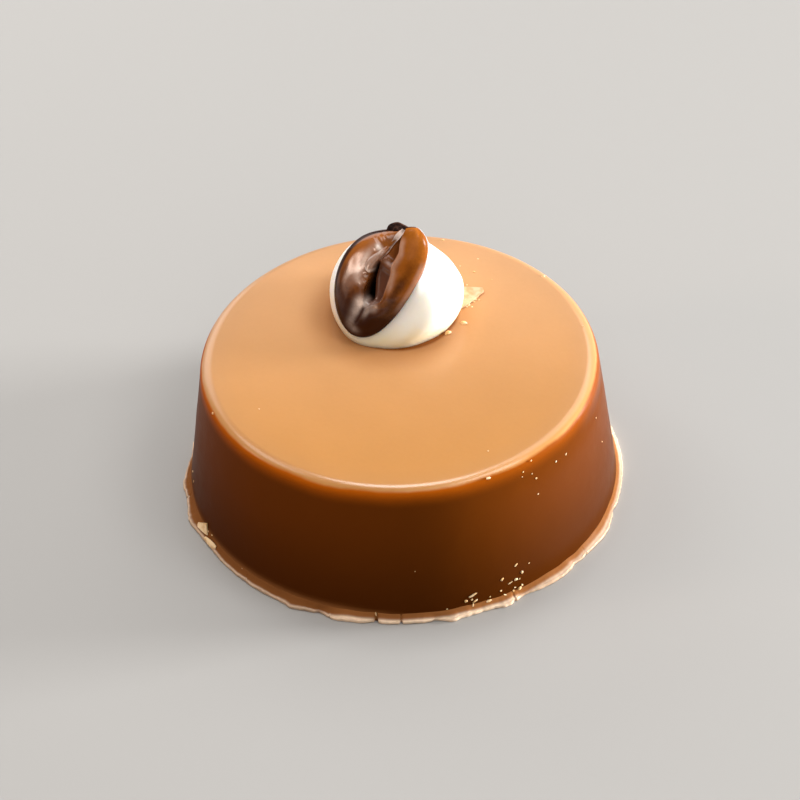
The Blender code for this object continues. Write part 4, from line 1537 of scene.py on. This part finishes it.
# --- Crumbs and flakes ---
@dataclass
class Crumbs:
    """Crumbs scraped off the praline, lying on its top, wall and brim."""

    body: MouldedBody
    seed: int = 7
    # On the wall: azimuth in degrees, height, length, width, heading in degrees from level.
    on_wall: tuple = (
        (-51.1, 11.6, 0.16, 0.12, 20.0), (-54.3, 11.0, 0.18, 0.14, 60.0), (-50.1, 9.8, 0.20, 0.16, 10.0),
        (-41.9, 10.0, 0.18, 0.12, 40.0), (-37.3, 9.9, 0.22, 0.12, 30.0), (-54.8, 10.6, 0.12, 0.10, 0.0),
        (-51.3, 10.4, 0.14, 0.10, 80.0), (-50.0, 8.3, 0.16, 0.12, 0.0), (-17.7, 9.3, 0.14, 0.12, 0.0),
        (-15.8, 6.5, 0.12, 0.10, 30.0), (-59.6, 3.0, 0.34, 0.14, 35.0), (-64.2, 2.2, 0.34, 0.20, 20.0),
        (-60.0, 1.7, 0.34, 0.24, 25.0), (-58.0, 2.1, 0.28, 0.24, 50.0), (-58.4, 0.95, 0.20, 0.18, 0.0),
        (-58.9, 1.6, 0.16, 0.10, 90.0), (-61.8, 1.6, 0.50, 0.08, 15.0), (-64.8, 1.2, 0.20, 0.16, 0.0),
        (-63.4, 0.62, 0.50, 0.16, -35.0), (-61.1, 0.75, 0.24, 0.16, 80.0), (-60.6, 1.0, 0.16, 0.12, 0.0),
        (-59.2, 0.75, 0.40, 0.30, 60.0), (-72.7, 1.6, 0.80, 0.20, 20.0), (-72.2, 1.0, 0.55, 0.18, 30.0),
        (-72.9, 0.65, 0.45, 0.18, 80.0), (-74.7, 1.2, 0.30, 0.26, 0.0), (-73.1, 1.2, 0.20, 0.16, 60.0),
        (-68.5, 0.65, 0.50, 0.26, 10.0), (-156.8, 0.75, 0.18, 0.14, 0.0), (-154.5, 0.9, 0.22, 0.14, 30.0),
        (-172.8, 2.0, 0.26, 0.18, 70.0), (-176.0, 2.2, 0.20, 0.16, 0.0), (-98.7, 0.62, 0.38, 0.14, 100.0),
        (-159.7, 11.75, 0.30, 0.20, 40.0), (-139.5, 0.45, 0.55, 0.16, 110.0), (-80.0, 0.8, 0.14, 0.10, 0.0),
        (-88.0, 4.6, 0.10, 0.08, 0.0), (-68.0, 1.0, 0.14, 0.12, 0.0), (-55.5, 2.6, 0.14, 0.10, 0.0),
        (35.0, 1.2, 0.30, 0.20, 20.0), (64.0, 0.9, 0.40, 0.18, 0.0), (97.0, 2.1, 0.22, 0.16, 40.0),
        (121.0, 0.9, 0.34, 0.22, 10.0), (139.0, 4.1, 0.16, 0.12, 0.0), (158.0, 1.3, 0.30, 0.16, 60.0),
    )
    # On the top: x, y, length, width, heading in degrees from +X.
    on_top: tuple = (
        (5.07, 3.83, 0.58, 0.38, -30.0), (3.80, 2.72, 0.58, 0.42, 40.0), (5.92, 6.28, 0.24, 0.18, 10.0),
        (5.52, 5.95, 0.26, 0.20, 50.0), (6.32, 6.50, 0.22, 0.14, 30.0), (5.75, 5.70, 0.18, 0.12, 0.0),
        (6.05, 6.55, 0.24, 0.20, 70.0), (5.35, 5.75, 0.20, 0.16, 20.0), (6.05, 9.89, 0.24, 0.18, 0.0),
        (5.45, 8.35, 0.16, 0.12, 30.0), (6.41, 11.45, 0.16, 0.12, 0.0), (4.98, 10.68, 0.14, 0.10, 0.0),
        (3.76, 13.93, 0.26, 0.18, 10.0), (11.39, 9.10, 0.36, 0.26, 50.0), (14.2, 2.91, 0.20, 0.14, 0.0),
        (-10.78, -5.30, 0.14, 0.12, 0.0), (6.37, -11.06, 0.16, 0.12, 0.0), (6.30, -13.80, 0.34, 0.26, 20.0),
        (4.5, 10.0, 0.12, 0.10, 0.0), (7.4, 8.9, 0.12, 0.10, 0.0), (-4.2, 12.3, 0.16, 0.12, 0.0),
    )
    # A crumb: rings and points of its ball, tilt of the end rings, shares that its corners take of
    # their radius, thickness for each width, share of the thickness that it stands out by.
    rings: int = 4
    columns: int = 7
    end_tilt: float = 1.1
    corners: tuple = (0.70, 1.25)
    thickness: float = 0.5
    lift: float = 0.2
    crisp: float = 35.0
    # The wall's slope, and how the top's edge falls: width and strength.
    wall_slope: float = 0.117
    edge_width: float = 0.9
    edge_fall: float = 0.4

    def spots(self) -> list[tuple[np.ndarray, np.ndarray, np.ndarray, float, float]]:
        """Return for each crumb its place, two directions along the surface, length and width."""
        up = np.array([0.0, 0.0, 1.0])
        found = []
        for azimuth, height, length, width, heading in self.on_wall:
            a = math.radians(azimuth)
            out = np.array([math.cos(a), math.sin(a), 0.0])
            level = np.array([-math.sin(a), math.cos(a), 0.0])
            place = out * self.body.wall_radius(height) + up * height
            found.append((place, level, up - self.wall_slope * out, length, width, heading))
        for x, y, length, width, heading in self.on_top:
            drop = max(0.0, math.hypot(x, y) - (self.body.top_radius - self.edge_width))
            place = np.array([x, y, self.body.height - self.edge_fall * drop**2])
            level, rise = np.array([1.0, 0.0, 0.0]), np.array([0.0, 1.0, 0.0])
            found.append((place, level, rise, length, width, heading))
        spots = []
        for place, level, rise, length, width, heading in found:
            c, s = math.cos(math.radians(heading)), math.sin(math.radians(heading))
            spots.append((place, c * level + s * rise, c * rise - s * level, length, width))
        return spots

    def build(self, material: Material) -> Object:
        """Make all crumbs as one mesh: small balls with random corners, partly sunk in.

        Args:
            material: Its finish.

        Returns:
            The crumbs.
        """
        draw = np.random.default_rng(self.seed)
        tilt = np.linspace(-self.end_tilt, self.end_tilt, self.rings)[:, None]
        turn = np.linspace(0.0, 2.0 * math.pi, self.columns, endpoint=False)[None, :]
        ball = around(np.cos(tilt), turn, np.sin(tilt))
        all_points, all_faces = [], []
        for place, one, other, length, width in self.spots():
            shape = ball * draw.uniform(*self.corners, ball.shape[:2] + (1,))
            out = np.cross(one, other)
            thick = self.thickness * width
            moved = shape[..., :1] * one * length / 2.0 + shape[..., 1:2] * other * width / 2.0
            moved = moved + shape[..., 2:] * out * thick / 2.0 + place + out * thick * self.lift
            points, faces = Mesher.tube(moved)
            start = sum(len(p) for p in all_points)
            all_faces += [[number + start for number in face] for face in faces]
            all_points.append(points)
        points = np.concatenate(all_points)
        return Mesher.piece("crumbs", points, all_faces, material, Slot.MILK, None, self.crisp)


@dataclass
class Flakes:
    """Thin flakes: the broken chip on the top and those that cling to the brim."""

    body: MouldedBody
    # Points along the lower and the upper edge. The chip's are x, y and z.
    chip_edges: tuple = (
        ((4.90, 5.45, 12.12), (5.66, 6.12, 12.12), (6.10, 6.62, 12.13), (6.72, 7.36, 12.14)),
        ((4.80, 7.95, 12.14), (5.40, 7.90, 12.14), (6.00, 7.80, 12.14), (6.62, 7.68, 12.14)),
    )
    # The others are on the wall: azimuth in degrees, height, lift off the wall.
    square_edges: tuple = (
        ((-162.3, 0.45, 0.20), (-161.6, 0.40, 0.30), (-161.0, 0.34, 0.38)),
        ((-157.6, 1.42, 0.08), (-157.0, 0.95, 0.10), (-156.3, 0.55, 0.15)),
    )
    curved_edges: tuple = (
        ((-156.5, 0.30, 0.34), (-154.5, 0.25, 0.36), (-152.5, 0.22, 0.30), (-151.2, 0.35, 0.16)),
        ((-156.2, 0.46, 0.26), (-154.5, 0.60, 0.20), (-152.5, 0.62, 0.14), (-151.2, 0.55, 0.10)),
    )
    # The ragged lower edge: size and spacing.
    jag: float = 0.05
    jag_spacing: float = 0.35
    least_width: float = 0.1
    crisp: float = 40.0

    def plate(self, name: str, edges: tuple, bulge: float, thickness: float, material: Material) -> Object:
        """Make a thin plate between two edges, with ragged lower edge.

        Args:
            name: Name of the piece.
            edges: Points along its lower edge and, as many, along its upper edge.
            bulge: How far its middle stands out along its normal.
            thickness: Thickness of the plate.
            material: Its finish.

        Returns:
            The plate.
        """
        t = np.linspace(0.0, 1.0, 30)
        v = np.linspace(0.0, 1.0, 8)[None, :, None]
        stops = np.linspace(0.0, 1.0, len(edges[0]))
        low, high = (
            np.stack([np.interp(t, stops, axis) for axis in np.array(edge, float).T], axis=1)[:, None]
            for edge in edges
        )
        upward = (high - low) / np.linalg.norm(high - low, axis=-1, keepdims=True).clip(self.least_width)
        surface = low + (high - low) * v
        jag = self.jag * wobble(surface, self.jag_spacing, 17)[..., None] * upward
        surface = surface + jag * (1.0 - v)
        surface = surface + bulge * normals(surface) * np.sin(np.pi * v)
        points, faces = Mesher.sheet(surface, thickness)
        return Mesher.piece(name, points, faces, material, Slot.MILK, None, self.crisp)

    def on_wall(self, edges: tuple) -> list:
        """Turn edges given by azimuth, height and lift off the wall into points."""
        return [
            [around(self.body.wall_radius(height) + lift, math.radians(azimuth), height)
             for azimuth, height, lift in edge]
            for edge in edges
        ]

    def build(self, material: Material, chip_material: Material) -> list[Object]:
        """Make every flake; the chip has a finish of its own."""
        return [
            self.plate("top_chip", self.chip_edges, 0.03, 0.20, chip_material),
            self.plate("square_flake", self.on_wall(self.square_edges), 0.04, 0.10, material),
            self.plate("curved_flake", self.on_wall(self.curved_edges), 0.05, 0.08, material),
        ]


# --- Studio ---
@dataclass
class Lamp:
    """One soft square lamp that points at the origin: angles in degrees, sizes in metres."""

    name: str
    azimuth: float
    elevation: float
    size: float
    strength: float
    distance: float = 0.45
    colour: tuple = (1.0, 1.0, 1.0)

    def build(self) -> Object:
        """Make the lamp; strength 1 lights a white surface that faces it to full white."""
        light = bpy.data.lights.new(self.name, "AREA")
        light.shape = "SQUARE"
        light.size = self.size
        light.color = self.colour
        light.energy = self.strength * math.pi**2 * self.distance**2
        a, e = math.radians(self.azimuth), math.radians(self.elevation)
        towards = Vector((math.cos(a) * math.cos(e), math.sin(a) * math.cos(e), math.sin(e)))
        lamp = add_object(self.name, light)
        lamp.location = towards * self.distance
        lamp.rotation_euler = towards.to_track_quat("Z", "Y").to_euler()
        return lamp


@dataclass
class Studio:
    """Pale floor, soft light and the camera."""

    floor_tone: tuple = (0.36, 0.35, 0.335)
    floor_half: float = 1.5
    floor_drop: float = 0.02
    floor_roughness: float = 0.8
    world_tone: tuple = (0.09, 0.082, 0.072)
    # The camera: lens and sensor in millimetres, clipping in metres, angles in degrees.
    lens: float = 259.2
    sensor: float = 36.0
    clipping: tuple = (0.02, 20.0)
    distance: float = 444.3
    elevation: float = 41.365
    roll: float = -2.169
    pivot: tuple = (0.0, 0.0, 6.0)
    aim: tuple = (-0.079, 0.862, 6.979)
    lamps: tuple = (
        Lamp("key_lamp", 52.0, 50.0, 0.20, 0.29, 0.30),
        Lamp("fill_lamp", -24.0, 58.0, 0.16, 0.26),
        Lamp("side_lamp", 6.0, 6.0, 0.12, 2.95),
        Lamp("left_lamp", 195.0, 19.0, 0.24, 0.11, 0.45, (1.0, 0.72, 0.58)),
        Lamp("glint_lamp", 188.0, 20.5, 0.075, 0.13, 0.45, (1.0, 0.76, 0.62)),
        Lamp("knob_lamp", 162.0, 54.0, 0.18, 0.15),
        Lamp("top_lamp", 90.0, 78.0, 0.18, 0.50),
        Lamp("front_lamp", -78.0, 42.0, 0.30, 0.28),
        Lamp("back_lamp", 125.0, 26.0, 0.10, 0.25, 0.16),
    )

    def floor(self) -> Object:
        """Make the plain floor just under the praline."""
        half = self.floor_half
        corners = [(-half, -half), (half, -half), (half, half), (-half, half)]
        mesh = bpy.data.meshes.new("floor")
        mesh.from_pydata([(x, y, -self.floor_drop * MM) for x, y in corners], [], [(0, 1, 2, 3)])
        made = add_object("floor", mesh)
        recipe = Recipe("floor_paper")
        mesh.materials.append(recipe.finish(Base_Color=self.floor_tone, Roughness=self.floor_roughness))
        return made

    def camera(self) -> Object:
        """Make the camera: it stands off the pivot, looks at the aim and is rolled a little."""
        data = bpy.data.cameras.new("camera")
        data.lens, data.sensor_width = self.lens, self.sensor
        data.clip_start, data.clip_end = self.clipping
        e = math.radians(self.elevation)
        back = Vector((0.0, -math.cos(e), math.sin(e)))
        place = Vector(self.pivot) + back * self.distance
        made = add_object("camera", data)
        made.location = place * MM
        look = (Vector(self.aim) - place).to_track_quat("-Z", "Y")
        made.rotation_euler = (look @ Quaternion((0.0, 0.0, 1.0), math.radians(self.roll))).to_euler()
        bpy.context.scene.camera = made
        return made

    def build(self) -> None:
        """Set the floor, world, lamps, camera and the view."""
        scene = bpy.context.scene
        scene.view_settings.view_transform = "Standard"
        world = bpy.data.worlds.new("studio")
        world.use_nodes = True
        world.node_tree.nodes["Background"].inputs["Color"].default_value = (*self.world_tone, 1.0)
        scene.world = world
        self.floor()
        self.camera()
        for lamp in self.lamps:
            lamp.build()


def main() -> None:
    """Build every piece in order."""
    logging.basicConfig(level=logging.INFO, format="%(name)s: %(message)s")
    milk, white, crumb = MilkFinish().make(), WhiteFinish().make(), CrumbFinish().make()
    Studio().build()
    body = MouldedBody()
    body.build(milk)
    BrokenBrim(body).build(milk)
    bean = RoastedBean()
    bean.build(RoastFinish().make())
    bean.ribbon(SkinFinish().make())
    bean.curl(CHARRED_SKIN.make())
    dot = PipedDot(bean)
    dot.build(white)
    dot.film(white)
    Crumbs(body).build(crumb)
    Flakes(body).build(crumb, CHIP.make())


if __name__ == "__main__":
    main()
